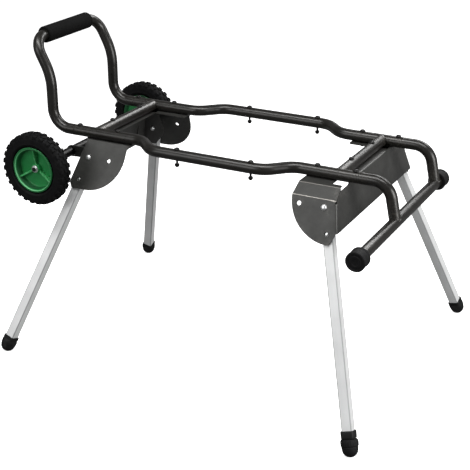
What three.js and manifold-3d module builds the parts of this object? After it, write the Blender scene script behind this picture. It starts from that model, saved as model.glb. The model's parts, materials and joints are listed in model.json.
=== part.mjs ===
import * as THREE from 'three';
import { mergeVertices } from 'three/addons/utils/BufferGeometryUtils.js';
import Module from 'manifold-3d';

const wasm = await Module();
wasm.setup();

// ---------------------------------------------------------------- driving dimensions (mm)
// Whole stand: X runs along the rails (wheels and handle at -X), Y across, Z up, floor at Z = 0.
const SHIFT_X = 49.62;            // moves the rail-centred layout so the overall box is centred on X = 0
const SHIFT_Y = -0.09;
const SHIFT_Z = -0.155;
const GAP = 0.3;                 // clearance between neighbouring pieces

// round frame tube
const TUBE_R = 15;
const TUBE_BORE_R = 13.2;
const TUBE_SIDES = 18;
const BORE_SIDES = 10;
const RAIL_Z = 609;
const RAIL_END_Y = 153;          // half spacing of the rail ends
const RAIL_MID_Y = 211;          // half spacing of the bulged middle
const RAIL_X0 = -460;
const RAIL_X1 = 379;
const JOG_X0 = -216;             // centre of each sideways jog
const JOG_X1 = 171;
const JOG_ANGLE = 45;
const JOG_R = 60;
const PLUG_R = 12.3;             // reduced end that plugs into a rail
const PLUG_BORE_R = 10.5;
const PLUG_LEN = 42;
const MID_BOLT_X = 107;
const CROSSBAR_X = [-394, 323];
const CROSSBAR_BOLT_Y = 72;

// push handle
const HANDLE_UPRIGHT_X = -535.5;
const HANDLE_FOOT_R = 52;
const HANDLE_KINK_Z = 752;
const HANDLE_KINK_R = 150;
const HANDLE_LEAN = 27;
const HANDLE_TOP_Z = 851;
const HANDLE_CORNER_R = 46;
const GRIP_R = 23;
const GRIP_LEN = 208;

// turned-down end frame with its stand-up bar
const ELBOW_START_X = 415;
const ELBOW_R = 50;
const ELBOW_LEAN = 11.6;
const BAR_Z = 509;
const BAR_Y0 = -420;
const BAR_Y1 = 205;
const CAP_R = 25;
const CAP_LEN = 36;
const CAP_FLOOR = 7;

// wheels
const WHEEL_X = -508;
const WHEEL_Z = 529;
const WHEEL_Y = 281;
const TYRE_R = 101.5;
const TYRE_W = 44;
const RIM_R = 63;
const RIM_W = 40;
const AXLE_R = 13;
const EAR_R = 16.2;
const SPINDLE_R = 6;
const HUB_FACE = 7;              // outer face of the recessed hub, from the wheel's mid plane
const SPINDLE_END = 15;

// legs and their folded-sheet brackets
const SHEET = 3;
const LEG = 27;
const LEG_WALL = 1.8;
const LEG_ABOVE = 12;            // leg above its pivot
const LEG_SET = 4;               // leg face behind the outer face of the plate
const LOCK = 66;                 // pivot to lock hole and pivot to folded-position hole
const PIVOT_R = 4;
const BUTTON_R = 4.2;
const BUTTON_HOLE_R = 5;
const FOOT_R = 20;               // radius of the rubber sole
const SLEEVE_TOP = 13;           // plain foot: top of its sleeve above the sole
const SOCKET_TOP = 31;           // levelling foot: top of its socket above the sole
const FLANGE_Z = RAIL_Z - TUBE_R - GAP;

const rad = THREE.MathUtils.degToRad;

// splay tilts the leg planes sideways, lean slants a leg lengthwise inside its own plane
const ends = {
  wheel_end: {
    sign: -1, splay: 22.2, lean: 17,
    creaseY: 169.2, creaseZ: FLANGE_Z, shoulderY: 169.2,
    pivotX: -402, pivotS: 49.5,
    panelX: -449.5, panelZ: 483, panelK: 0.31, panelBottom: 483,
    flangeX0: -424, flangeX1: -279, boltX: -325, railBoltX: -447,
    discX: -399, discS: 28, discR: 111,
  },
  bar_end: {
    sign: 1, splay: 20.7, lean: 16.35,
    creaseY: 241.5, creaseZ: 573, shoulderY: 204,
    pivotX: 324.5, pivotS: 19.5,
    panelX: 370.5, panelZ: 498, panelK: 0.212, panelBottom: 499,
    flangeX0: 236.5, flangeX1: 352, boltX: 265, railBoltX: 368,
    discX: 349.5, discS: -3, discR: 113,
  },
};
for (const e of Object.values(ends)) {
  e.sin = Math.sin(rad(e.splay));
  e.cos = Math.cos(rad(e.splay));
}
const sides = { front: -1, rear: 1 };

// ---------------------------------------------------------------- materials
const paint = (color, roughness, metalness) => new THREE.MeshStandardMaterial({ color, roughness, metalness });
const MAT = {
  tube: paint(0x23211e, 0.4, 0.4),
  sheet: paint(0x4c4c4a, 0.55, 0.4),
  alloy: paint(0xd8dadb, 0.3, 0.9),
  zinc: paint(0xc4c6c8, 0.35, 0.9),
  black: paint(0x141414, 0.55, 0.1),
  rubber: paint(0x17171a, 0.85, 0.0),
  green: paint(0x1f8a45, 0.45, 0.0),
  foam: paint(0x161616, 0.95, 0.0),
};

// ---------------------------------------------------------------- solid helpers
function solid(geometry) {
  let g = geometry.clone();
  for (const name of Object.keys(g.attributes)) {
    if (name !== 'position') g.deleteAttribute(name);
  }
  g = mergeVertices(g, 1e-4);
  return new wasm.Manifold(new wasm.Mesh({
    numProp: 3,
    vertProperties: new Float32Array(g.attributes.position.array),
    triVerts: new Uint32Array(g.index.array),
  }));
}

function shell(body) {
  const m = body.getMesh();
  const g = new THREE.BufferGeometry();
  g.setAttribute('position', new THREE.BufferAttribute(new Float32Array(m.vertProperties), 3));
  g.setIndex(new THREE.BufferAttribute(new Uint32Array(m.triVerts), 1));
  g.computeVertexNormals();
  return g;
}

// slab in the XZ plane from outline points [x, z], filling Y from y0 to y0 + t
function slabXZ(outline, y0, t, holes = []) {
  const shape = new THREE.Shape(outline.map(([x, z]) => new THREE.Vector2(x, z)));
  for (const [x, z, r] of holes) {
    shape.holes.push(new THREE.Path().absarc(x, z, r, 0, Math.PI * 2, true));
  }
  const g = new THREE.ExtrudeGeometry(shape, { depth: t, bevelEnabled: false, curveSegments: 9 });
  g.rotateX(Math.PI / 2);
  g.translate(0, y0 + t, 0);
  return g;
}

// bar along X from a cross-section [y, z]
function barAlongX(section, x0, x1) {
  const shape = new THREE.Shape(section.map(([y, z]) => new THREE.Vector2(y, z)));
  const g = new THREE.ExtrudeGeometry(shape, { depth: x1 - x0, bevelEnabled: false });
  g.rotateX(Math.PI / 2);
  g.rotateZ(Math.PI / 2);
  g.translate(x0, 0, 0);
  return g;
}

function box(x0, x1, y0, y1, z0, z1) {
  const g = new THREE.BoxGeometry(x1 - x0, y1 - y0, z1 - z0);
  g.translate((x0 + x1) / 2, (y0 + y1) / 2, (z0 + z1) / 2);
  return g;
}

// turned body about the Z axis from [radius, z] points
function turned(profile, segments = 24) {
  const pts = profile.map(([r, z]) => new THREE.Vector2(Math.max(r, 0), z));
  const g = new THREE.LatheGeometry(pts, segments);
  g.rotateX(Math.PI / 2);
  return g;
}

function rod(r, z0, z1, segments = 20) {
  return turned([[0, z0], [r, z0], [r, z1], [0, z1]], segments);
}

const alongY = (g, x, y, z) => g.rotateX(-Math.PI / 2).translate(x, y, z);

// centre line made of straight runs and round bends; each corner is [x, y, z, bend radius]
class BentPath extends THREE.Curve {
  constructor(corners, step = 18) {
    super();
    this.points = [];
    this.tangents = [];
    const p = corners.map(([x, y, z]) => new THREE.Vector3(x, y, z));
    const put = (q, t) => {
      this.points.push(q);
      this.tangents.push(t);
    };
    put(p[0], p[1].clone().sub(p[0]).normalize());
    for (let i = 1; i < p.length - 1; i++) {
      const a = p[i].clone().sub(p[i - 1]).normalize();
      const b = p[i + 1].clone().sub(p[i]).normalize();
      const turn = a.angleTo(b);
      const r = corners[i][3];
      const start = p[i].clone().addScaledVector(a, -r * Math.tan(turn / 2));
      const inward = b.clone().addScaledVector(a, -a.dot(b)).normalize();
      const n = Math.max(2, Math.round(THREE.MathUtils.radToDeg(turn) / step));
      for (let k = 0; k <= n; k++) {
        const w = turn * k / n;
        const q = start.clone().addScaledVector(a, r * Math.sin(w)).addScaledVector(inward, r * (1 - Math.cos(w)));
        put(q, a.clone().multiplyScalar(Math.cos(w)).addScaledVector(inward, Math.sin(w)));
      }
    }
    const n = p.length;
    put(p[n - 1], p[n - 1].clone().sub(p[n - 2]).normalize());
    this.steps = this.points.length - 1;
  }

  getPoint(t) {
    return this.points[Math.round(t * this.steps)].clone();
  }

  getPointAt(t) {
    return this.getPoint(t);
  }

  getTangent(t) {
    return this.tangents[Math.round(t * this.steps)].clone();
  }

  getTangentAt(t) {
    return this.getTangent(t);
  }
}

function pipe(corners, r = TUBE_R, sides_ = TUBE_SIDES) {
  const path = new BentPath(corners);
  const ring = [];
  for (let i = 0; i < sides_; i++) {
    const a = Math.PI * 2 * (i + 0.5) / sides_;
    ring.push(new THREE.Vector2(r * Math.cos(a), r * Math.sin(a)));
  }
  const how = { steps: path.steps, extrudePath: path, bevelEnabled: false };
  const g = new THREE.ExtrudeGeometry(new THREE.Shape(ring), how);
  return solid(g);
}

// folded strip: outer line [y, z] thickened towards its right-hand side
function foldedSection(line, t) {
  const dir = line.slice(1).map(([y, z], i) => {
    const dy = y - line[i][0];
    const dz = z - line[i][1];
    const n = Math.hypot(dy, dz);
    return [dz / n, -dy / n];
  });
  const inner = line.map(([y, z], i) => {
    const a = dir[Math.max(i - 1, 0)];
    const b = dir[Math.min(i, dir.length - 1)];
    const k = t / (1 + a[0] * b[0] + a[1] * b[1]);
    return [y + (a[0] + b[0]) * k, z + (a[1] + b[1]) * k];
  });
  return [...line, ...inner.reverse()];
}

const group = new THREE.Group();
group.name = 'folding_wheeled_saw_stand';
const layout = new THREE.Group();
layout.position.set(SHIFT_X, SHIFT_Y, SHIFT_Z);
group.add(layout);

function add(name, geometry, material, parent = layout) {
  const mesh = new THREE.Mesh(geometry, material);
  mesh.name = name;
  parent.add(mesh);
  return mesh;
}

// ---------------------------------------------------------------- rails
const jogRun = (RAIL_MID_Y - RAIL_END_Y) / Math.tan(rad(JOG_ANGLE));
function railCorners(s) {
  const h = jogRun / 2;
  return [
    [RAIL_X0, s * RAIL_END_Y, RAIL_Z],
    [JOG_X0 - h, s * RAIL_END_Y, RAIL_Z, JOG_R],
    [JOG_X0 + h, s * RAIL_MID_Y, RAIL_Z, JOG_R],
    [JOG_X1 - h, s * RAIL_MID_Y, RAIL_Z, JOG_R],
    [JOG_X1 + h, s * RAIL_END_Y, RAIL_Z, JOG_R],
    [RAIL_X1, s * RAIL_END_Y, RAIL_Z],
  ];
}

const boltHole = (x, y, r = 3.4) => solid(rod(r, RAIL_Z - 40, RAIL_Z + 40, 8).translate(x, y, 0));
const railBolts = (s) => [
  [-MID_BOLT_X, s * RAIL_MID_Y],
  [MID_BOLT_X, s * RAIL_MID_Y],
  [ends.wheel_end.boltX, s * RAIL_END_Y],
  [ends.bar_end.boltX, s * RAIL_END_Y],
  [ends.wheel_end.railBoltX, s * RAIL_END_Y],
  [ends.bar_end.railBoltX, s * RAIL_END_Y],
];

for (const [side, s] of Object.entries(sides)) {
  const bore = railCorners(s);
  bore[0][0] -= 2;
  bore[bore.length - 1][0] += 2;
  let rail = pipe(railCorners(s)).subtract(pipe(bore, TUBE_BORE_R, BORE_SIDES));
  for (const [x, y] of railBolts(s)) rail = rail.subtract(boltHole(x, y));
  add(`${side}_rail`, shell(rail), MAT.tube);
}

// ---------------------------------------------------------------- cross bars between the rails
const barNames = ['wheel_end_crossbar', 'bar_end_crossbar'];
CROSSBAR_X.forEach((x, i) => {
  let bar = solid(alongY(rod(TUBE_R, -RAIL_END_Y, RAIL_END_Y, TUBE_SIDES), x, 0, RAIL_Z));
  bar = bar.subtract(solid(alongY(rod(TUBE_BORE_R, -RAIL_END_Y, RAIL_END_Y, BORE_SIDES), x, 0, RAIL_Z)));
  for (const s of [-1, 1]) {
    const saddle = rod(TUBE_R + GAP, x - 40, x + 40).rotateY(Math.PI / 2);
    bar = bar.subtract(solid(saddle.translate(0, s * RAIL_END_Y, RAIL_Z)));
    bar = bar.subtract(boltHole(x, s * CROSSBAR_BOLT_Y));
  }
  add(barNames[i], shell(bar), MAT.tube);
});

// ---------------------------------------------------------------- bolts through rails and cross bars
// domed head above the tube, nut at depth `nut` below the head seat
function bolt(nut, nutH, tip) {
  const seat = 0.15;
  return turned([
    [0, -tip], [3, -tip], [3, -nut - nutH], [6.4, -nut - nutH], [6.4, -nut], [3, -nut],
    [3, seat], [7.2, seat], [6.6, 3], [3.6, 5], [0, 5.4],
  ], 8);
}

// domed head above the tube, stem ending inside the tube's lower wall
function screw(tip) {
  return turned([[0, -tip], [3, -tip], [3, 0.15], [7.2, 0.15], [6.6, 3], [3.6, 5], [0, 5.4]], 8);
}

const topZ = RAIL_Z + TUBE_R;
for (const [side, s] of Object.entries(sides)) {
  const hang = bolt(39, 8, 48);
  const clamp = bolt(2 * TUBE_R + SHEET + 2 * GAP + 0.3, 6, 43);
  const pin = screw(2 * TUBE_R - 1);
  const list = [
    ['saw_bolt_wheel_end', -MID_BOLT_X, RAIL_MID_Y, hang],
    ['saw_bolt_bar_end', MID_BOLT_X, RAIL_MID_Y, hang],
    ['bracket_bolt_wheel_end', ends.wheel_end.boltX, RAIL_END_Y, clamp],
    ['bracket_bolt_bar_end', ends.bar_end.boltX, RAIL_END_Y, clamp],
    ['handle_bolt', ends.wheel_end.railBoltX, RAIL_END_Y, pin],
    ['end_frame_bolt', ends.bar_end.railBoltX, RAIL_END_Y, pin],
    ['crossbar_bolt_wheel_end', CROSSBAR_X[0], CROSSBAR_BOLT_Y, clamp],
    ['crossbar_bolt_bar_end', CROSSBAR_X[1], CROSSBAR_BOLT_Y, clamp],
  ];
  for (const [name, x, y, g] of list) {
    add(`${side}_${name}`, g.clone(), MAT.black).position.set(x, s * y, topZ);
  }
}

// ---------------------------------------------------------------- push handle and grip
const lean = rad(HANDLE_LEAN);
const handleTopX = HANDLE_UPRIGHT_X - (HANDLE_TOP_Z - HANDLE_KINK_Z) * Math.tan(lean);
function handleSide(s) {
  return [
    [RAIL_X0 - 0.4, s * RAIL_END_Y, RAIL_Z],
    [HANDLE_UPRIGHT_X, s * RAIL_END_Y, RAIL_Z, HANDLE_FOOT_R],
    [HANDLE_UPRIGHT_X, s * RAIL_END_Y, HANDLE_KINK_Z, HANDLE_KINK_R],
    [handleTopX, s * RAIL_END_Y, HANDLE_TOP_Z, HANDLE_CORNER_R],
  ];
}
const handlePath = [...handleSide(-1), ...handleSide(1).reverse()];
let handle = pipe(handlePath);
const handleBore = handlePath.map((c) => [...c]);
handleBore[0][0] -= 4;
handleBore[handleBore.length - 1][0] -= 4;
// plugged end of a tube, on the rail line between x0 and x1
function onRail(r, x0, x1, s, n = TUBE_SIDES) {
  const g = rod(r, x0, x1, n).rotateY(Math.PI / 2);
  return solid(g.translate(0, s * RAIL_END_Y, RAIL_Z));
}
for (const s of [-1, 1]) handle = handle.add(onRail(PLUG_R, RAIL_X0 - 5, RAIL_X0 + PLUG_LEN, s));
handle = handle.subtract(pipe(handleBore, TUBE_BORE_R, BORE_SIDES));
for (const s of [-1, 1]) {
  handle = handle.subtract(onRail(PLUG_BORE_R, RAIL_X0 - 8, RAIL_X0 + PLUG_LEN + 1, s, BORE_SIDES));
  handle = handle.subtract(boltHole(ends.wheel_end.railBoltX, s * RAIL_END_Y));
}
add('push_handle', shell(handle), MAT.tube);

const gl = GRIP_LEN / 2;
const grip = turned([
  [TUBE_R + GAP, -gl], [GRIP_R - 4, -gl], [GRIP_R - 1, -gl + 1.5], [GRIP_R, -gl + 5],
  [GRIP_R, gl - 5], [GRIP_R - 1, gl - 1.5], [GRIP_R - 4, gl], [TUBE_R + GAP, gl], [TUBE_R + GAP, -gl],
], 20);
add('handle_grip', alongY(grip, 0, 0, 0), MAT.foam).position.set(handleTopX, 0, HANDLE_TOP_Z);

// ---------------------------------------------------------------- end frame: two elbows and one long cross bar
const elbowTurn = rad(90 - ELBOW_LEAN);
const cornerX = ELBOW_START_X + ELBOW_R * Math.tan(elbowTurn / 2);
const barX = cornerX + (RAIL_Z - BAR_Z) * Math.tan(rad(ELBOW_LEAN));
const barEnds = [BAR_Y0 + CAP_FLOOR + GAP, BAR_Y1 - CAP_FLOOR - GAP];
let frame = solid(alongY(rod(TUBE_R, ...barEnds, TUBE_SIDES), barX, 0, BAR_Z));
const elbow = (s, x0) => [
  [x0, s * RAIL_END_Y, RAIL_Z],
  [cornerX, s * RAIL_END_Y, RAIL_Z, ELBOW_R],
  [barX, s * RAIL_END_Y, BAR_Z],
];
for (const s of [-1, 1]) {
  frame = frame.add(pipe(elbow(s, RAIL_X1 + 0.4)));
  frame = frame.add(onRail(PLUG_R, RAIL_X1 - PLUG_LEN, RAIL_X1 + 5, s));
}
frame = frame.subtract(solid(alongY(rod(TUBE_BORE_R, BAR_Y0, BAR_Y1, BORE_SIDES), barX, 0, BAR_Z)));
for (const s of [-1, 1]) {
  frame = frame.subtract(pipe(elbow(s, RAIL_X1 + 4), TUBE_BORE_R, BORE_SIDES));
  frame = frame.subtract(onRail(PLUG_BORE_R, RAIL_X1 - PLUG_LEN - 1, RAIL_X1 + 8, s, BORE_SIDES));
  frame = frame.subtract(boltHole(ends.bar_end.railBoltX, s * RAIL_END_Y));
}
add('end_frame', shell(frame), MAT.tube);

const capShape = turned([
  [0, 0], [CAP_R - 6, 0], [CAP_R - 2, 1.6], [CAP_R, 6],
  [CAP_R, CAP_LEN - 4], [CAP_R - 2, CAP_LEN - 1], [CAP_R - 4, CAP_LEN],
  [TUBE_R + GAP, CAP_LEN], [TUBE_R + GAP, CAP_FLOOR], [0, CAP_FLOOR],
], 20);
add('front_bar_cap', alongY(capShape.clone(), 0, 0, 0), MAT.rubber).position.set(barX, BAR_Y0, BAR_Z);
add('rear_bar_cap', alongY(capShape.clone().rotateX(Math.PI), 0, 0, 0), MAT.rubber).position.set(barX, BAR_Y1, BAR_Z);

// ---------------------------------------------------------------- leg brackets
const arcPoints = (cx, cs, r, a0, a1, n) => Array.from({ length: n + 1 }, (_, i) => {
  const a = rad(a0 + (a1 - a0) * i / n);
  return [cx + r * Math.cos(a), -cs - r * Math.sin(a)];
});

// outline of one outer plate as [x, z] in the plate plane, z = 0 on the upper crease
function plateOutline(e) {
  if (e.sign > 0) {
    const edge = (z) => e.panelX - e.panelK * (z - e.panelZ);
    return [
      [edge(e.creaseZ) - 0.5, 0], ...arcPoints(e.discX, e.discS, e.discR, 178, 92, 12),
      [352, -109], [357, -103], [359.5, -96], [364.5, -84], [edge(e.creaseZ - 77.6 * e.cos), -77.6],
    ];
  }
  return [
    [-414.5, 0], [-450.2, -117.3], [-449.5, -120], [-441, -138], [-438, -139],
    ...arcPoints(e.discX, e.discS, e.discR, 92, 4, 13),
    [-286.5, -14], [-279, 0],
  ];
}

const panelAt = (e, z) => e.panelX - e.sign * e.panelK * (z - e.panelZ);

function inPlatePlane(body, e, s) {
  return body.rotate([s * e.splay, 0, 0]).translate([0, s * e.creaseY, e.creaseZ]);
}

for (const [end, e] of Object.entries(ends)) {
  let bracket = null;
  const join = (b) => {
    bracket = bracket ? bracket.add(b) : b;
  };
  // slanted cross panel: outline [y, z] thickened along X, then sheared to the slant
  const above = (z) => e.creaseY - (z - e.creaseZ) * (e.creaseY - e.shoulderY) / 20;
  const below = (z) => e.creaseY + (e.creaseZ - z) * e.sin / e.cos;
  const half = (z) => (z > e.creaseZ ? above(z) : below(z));
  const zt = FLANGE_Z;
  const zb = e.panelBottom;
  const levels = e.sign > 0 ? [zb, e.creaseZ, zt - 1.5] : [zb, zt - 1.5];
  const right = levels.map((z) => [half(z) - 1.2, z]);
  const outline = [...right, ...right.map(([y, z]) => [-y, z]).reverse()];
  const panelGeo = barAlongX(outline, 0, SHEET);
  const pos = panelGeo.attributes.position;
  for (let i = 0; i < pos.count; i++) {
    const shift = panelAt(e, pos.getZ(i)) - (e.sign > 0 ? SHEET : 0);
    pos.setX(i, pos.getX(i) + shift);
  }
  join(solid(panelGeo));
  // lip of the panel folded in under the cross bar
  const lipX = e.sign > 0 ? CROSSBAR_X[1] : CROSSBAR_X[0];
  const xa = Math.min(lipX - 18, panelAt(e, zt));
  const xb = Math.max(lipX + 18, panelAt(e, zt));
  join(solid(box(xa, xb, -150, 150, zt - SHEET, zt)));
  for (const s of [-1, 1]) {
    // flange under the rail
    const flangeY = [s * 128, s * (e.shoulderY - 14)].sort((a, b) => a - b);
    join(solid(box(e.flangeX0, e.flangeX1, ...flangeY, zt - SHEET, zt)));
    // flange, shoulder and the top of the plate as one folded strip
    const line = e.sign > 0
      ? [[150, zt], [e.shoulderY, zt], [e.creaseY, e.creaseZ], [e.creaseY + 12 * e.sin, e.creaseZ - 12 * e.cos]]
      : [[135, zt], [e.creaseY, zt], [e.creaseY + 12 * e.sin, zt - 12 * e.cos]];
    let section = foldedSection(line, SHEET);
    if (s < 0) section = section.map(([y, z]) => [-y, z]).reverse();
    const stripX0 = e.sign > 0 ? 236.5 : -416;
    const stripX1 = e.sign > 0 ? panelAt(e, zt) - 1 : -281;
    join(solid(barAlongX(section, stripX0, stripX1)));
    // outer plate with pivot hole, lock hole and folded-position hole
    const pz = -e.pivotS;
    const holes = [
      [e.pivotX, pz, PIVOT_R + GAP],
      [e.pivotX - e.sign * LOCK, pz, BUTTON_HOLE_R + 0.8],
      [e.pivotX + e.sign * LOCK * Math.sin(rad(e.lean)), pz - LOCK * Math.cos(rad(e.lean)), BUTTON_HOLE_R + 0.8],
    ];
    const plate = slabXZ(plateOutline(e), s > 0 ? -SHEET : 0, SHEET, holes);
    join(inPlatePlane(solid(plate), e, s));
    // inner plate of the clevis
    const off = LEG_SET + LEG + 1;
    const reach = 34;
    const innerEdge = (z) => panelAt(e, e.creaseZ + z * e.cos - (off + 1.5) * e.sin) - e.sign;
    const top = e.sign > 0 ? 38 : 10;
    const bottom = e.sign > 0 ? -72 : -112;
    const tip = e.pivotX - e.sign * reach;
    const innerOutline = [
      [innerEdge(top), top], [tip, top], [tip, pz - 8], [tip + e.sign * 12, pz - 30],
      [e.pivotX + e.sign * 6, bottom], [innerEdge(bottom), bottom],
    ];
    if (e.sign < 0) innerOutline.reverse();
    let inner = solid(slabXZ(innerOutline, s > 0 ? -off - SHEET : off, SHEET, [[e.pivotX, pz, PIVOT_R + GAP]]));
    inner = inPlatePlane(inner, e, s);
    inner = inner.subtract(solid(box(-700, 700, -400, 400, zt - 0.5, zt + 60)));
    join(inner);
  }
  if (e.sign < 0) {
    // ears that carry the axle
    for (const s of [-1, 1]) {
      const px = panelAt(e, WHEEL_Z) + 2;
      const ear = [
        [px + 6, WHEEL_Z - 12], [px + 12, WHEEL_Z + 22], [px - 20, WHEEL_Z + 17],
        ...Array.from({ length: 9 }, (_, i) => {
          const a = rad(90 + 22.5 * i);
          return [WHEEL_X + EAR_R * Math.cos(a), WHEEL_Z + EAR_R * Math.sin(a)];
        }),
      ];
      join(solid(slabXZ(ear, s > 0 ? 113 : -117, 4, [[WHEEL_X, WHEEL_Z, AXLE_R + GAP]])));
    }
  }
  // holes for the rail bolts and the cross bar bolts, and relief notches at the outer corners
  for (const s of [-1, 1]) {
    bracket = bracket.subtract(boltHole(e.boltX, s * RAIL_END_Y));
    bracket = bracket.subtract(boltHole(lipX, s * CROSSBAR_BOLT_Y));
    if (e.sign > 0) {
      for (const [x0, y0, y1] of [[318, 148, 184], [346, 183, 203]]) {
        const ys = s > 0 ? [y0, y1] : [-y1, -y0];
        bracket = bracket.subtract(solid(box(x0, 353, ...ys, zt - 9, zt + 4)));
      }
    }
  }
  add(`${end}_bracket`, shell(bracket), MAT.sheet);
}

// ---------------------------------------------------------------- legs, pivots, lock buttons and feet
function roundedSquare(w, r, n = 2) {
  const h = w / 2 - r;
  const pts = [];
  for (const [cx, cy, a0] of [[h, h, 0], [-h, h, 90], [-h, -h, 180], [h, -h, 270]]) {
    for (let i = 0; i <= n; i++) {
      const a = rad(a0 + 90 * i / n);
      pts.push(new THREE.Vector2(cx + r * Math.cos(a), cy + r * Math.sin(a)));
    }
  }
  return new THREE.Shape(pts);
}
function squareBar(w, r, z0, z1) {
  const g = new THREE.ExtrudeGeometry(roundedSquare(w, r), { depth: z1 - z0, bevelEnabled: false });
  return g.translate(0, 0, z0);
}
// rod whose axis is the plate normal, from y0 to y1
const crossRod = (r, y0, y1, segments = 16) => rod(r, y0, y1, segments).rotateX(-Math.PI / 2);

for (const [end, e] of Object.entries(ends)) {
  for (const [side, s] of Object.entries(sides)) {
    const tag = `${end}_${side}`;
    const pivotY = e.creaseY + e.pivotS * e.sin;
    const pivotZ = e.creaseZ - e.pivotS * e.cos;
    const hub = new THREE.Group();
    hub.position.set(e.pivotX, s * pivotY, pivotZ);
    hub.rotation.set(rad(s * e.splay), rad(-e.sign * e.lean), 0);
    layout.add(hub);
    // leg axis sits behind the plate
    const axisOff = LEG_SET + LEG / 2;
    const axisZ = pivotZ - axisOff * e.sin;
    const drop = e.cos * Math.cos(rad(e.lean));
    const soleD = (axisZ - FOOT_R) / drop;
    const soleTop = -soleD + 14;
    const legEnd = soleTop + 1;
    const leg = new THREE.Group();
    leg.position.set(0, -s * axisOff, 0);
    hub.add(leg);
    // square tube, open at the top where its corners are clipped
    let tube = solid(squareBar(LEG, 3, legEnd, LEG_ABOVE));
    tube = tube.subtract(solid(squareBar(LEG - 2 * LEG_WALL, 1.5, legEnd - 2, LEG_ABOVE + 2)));
    for (const q of [-1, 1]) {
      const c = LEG / 2;
      const clip = slabXZ([[q * (c - 7), 13], [q * (c + 1), 4], [q * (c + 1), 13]], -20, 40);
      tube = tube.subtract(solid(q > 0 ? slabXZ([[c - 7, 13], [c + 1, 4], [c + 1, 13]], -20, 40) : clip));
    }
    tube = tube.subtract(solid(crossRod(PIVOT_R + GAP, -20, 20)));
    const btnHole = crossRod(BUTTON_R + GAP, s > 0 ? 5 : -20, s > 0 ? 20 : -5);
    tube = tube.subtract(solid(btnHole.translate(0, 0, -LOCK)));
    add(`${tag}_leg`, shell(tube), MAT.alloy, leg);
    // pivot bolt with its nut behind the inner plate
    const pin = turned([
      [0, -44], [PIVOT_R - 0.2, -44], [PIVOT_R - 0.2, -42.2], [7, -42.2], [7, -35.6],
      [PIVOT_R, -35.6], [PIVOT_R, 0.2],
      [7.4, 0.2], [6.8, 2.4], [3.6, 4], [0, 4.2],
    ], 14);
    if (s > 0) pin.rotateX(-Math.PI / 2);
    else pin.rotateX(Math.PI / 2);
    add(`${tag}_pivot_bolt`, pin, MAT.zinc, hub);
    // sprung lock button carried by the leg, seen through the lock hole
    const tipOff = LEG / 2 + LEG_SET - SHEET - 0.35;
    const button = turned([
      [0, tipOff - 14], [6.5, tipOff - 14], [6.5, tipOff - 12], [BUTTON_R, tipOff - 12], [BUTTON_R, tipOff - 1.2],
      [BUTTON_R - 1.1, tipOff - 0.3], [0, tipOff],
    ], 16);
    button.rotateX(s > 0 ? -Math.PI / 2 : Math.PI / 2).translate(0, 0, -LOCK);
    add(`${tag}_lock_button`, button, MAT.zinc, leg);
    // feet
    const pocket = solid(squareBar(LEG + 2 * GAP, 3, legEnd - GAP, legEnd + 60));
    if (end === 'bar_end' && side === 'front') {
      // levelling foot: socket on the leg, knurled ring and rubber sole on one stem
      let socket = solid(squareBar(33, 4, soleTop + 12, soleTop + SOCKET_TOP));
      socket = socket.subtract(solid(squareBar(LEG + 2 * GAP, 3, soleTop + 16, soleTop + SOCKET_TOP + 8)));
      socket = socket.subtract(solid(rod(6.4, soleTop, soleTop + 20, 16)));
      tube = tube.subtract(solid(box(-30, 30, -30, 30, legEnd - 20, soleTop + 16 + GAP)));
      leg.remove(leg.children.find((m) => m.name === `${tag}_leg`));
      add(`${tag}_leg`, shell(tube), MAT.alloy, leg);
      add(`${tag}_foot_socket`, shell(socket), MAT.black, leg);
      const sole = [];
      for (let i = 0; i <= 4; i++) {
        const a = rad(-90 + 19.5 * i);
        sole.push([FOOT_R * Math.cos(a), -soleD + FOOT_R * Math.sin(a)]);
      }
      const leveller = turned([
        ...sole, [21, soleTop - 9], [22, soleTop - 4], [22.4, soleTop + 2], [21.5, soleTop + 8],
        [18.5, soleTop + 11.6],
        [6, soleTop + 11.6], [6, soleTop + 44], [0, soleTop + 44],
      ], 24);
      add(`${tag}_levelling_foot`, leveller, MAT.rubber, leg);
    } else {
      const sole = [];
      for (let i = 0; i <= 4; i++) {
        const a = rad(-90 + 18 * i);
        sole.push([FOOT_R * Math.cos(a), -soleD + FOOT_R * Math.sin(a)]);
      }
      let foot = solid(turned([
        ...sole, [21, soleTop - 10], [21.6, soleTop - 4], [20.6, soleTop + 1], [14, soleTop + 3], [0, soleTop + 3],
      ], 20));
      foot = foot.add(solid(squareBar(33, 4, soleTop - 4, soleTop + SLEEVE_TOP)));
      foot = foot.subtract(pocket);
      add(`${tag}_foot`, shell(foot), MAT.rubber, leg);
    }
  }
}

// ---------------------------------------------------------------- axle and wheels
const hw = RIM_W / 2;
const ye = WHEEL_Y + SPINDLE_END;
const axle = alongY(turned([
  [0, -ye], [SPINDLE_R, -ye], [SPINDLE_R, -(WHEEL_Y - 24)], [AXLE_R, -(WHEEL_Y - 24)],
  [AXLE_R, WHEEL_Y - 24], [SPINDLE_R, WHEEL_Y - 24], [SPINDLE_R, ye], [0, ye],
], 20), 0, 0, 0);
add('axle', axle, MAT.black).position.set(WHEEL_X, 0, WHEEL_Z);

function rimBody() {
  // outer side of the wheel is +Z here
  let rim = solid(turned([
    [SPINDLE_R + GAP, -22], [13, -22], [13.5, -9], [54, -9], [57, -17],
    [RIM_R + 1, -20], [RIM_R + 1, -17], [RIM_R - 1.5, -14],
    [RIM_R - 1.5, 14], [RIM_R + 1, 17], [RIM_R + 1, 20], [RIM_R - 3, 20.5], [RIM_R - 6, 18], [54, -3], [15, -4],
    [13.5, HUB_FACE - 2], [11.5, HUB_FACE], [SPINDLE_R + GAP, HUB_FACE], [SPINDLE_R + GAP, -22],
  ], 28));
  for (let i = 0; i < 3; i++) {
    const rib = slabXZ([[10, -5], [57, -4], [58, 15], [12, HUB_FACE - 2.5]], -2.5, 5).rotateZ(rad(90 + 120 * i));
    rim = rim.add(solid(rib));
  }
  return rim;
}

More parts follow.
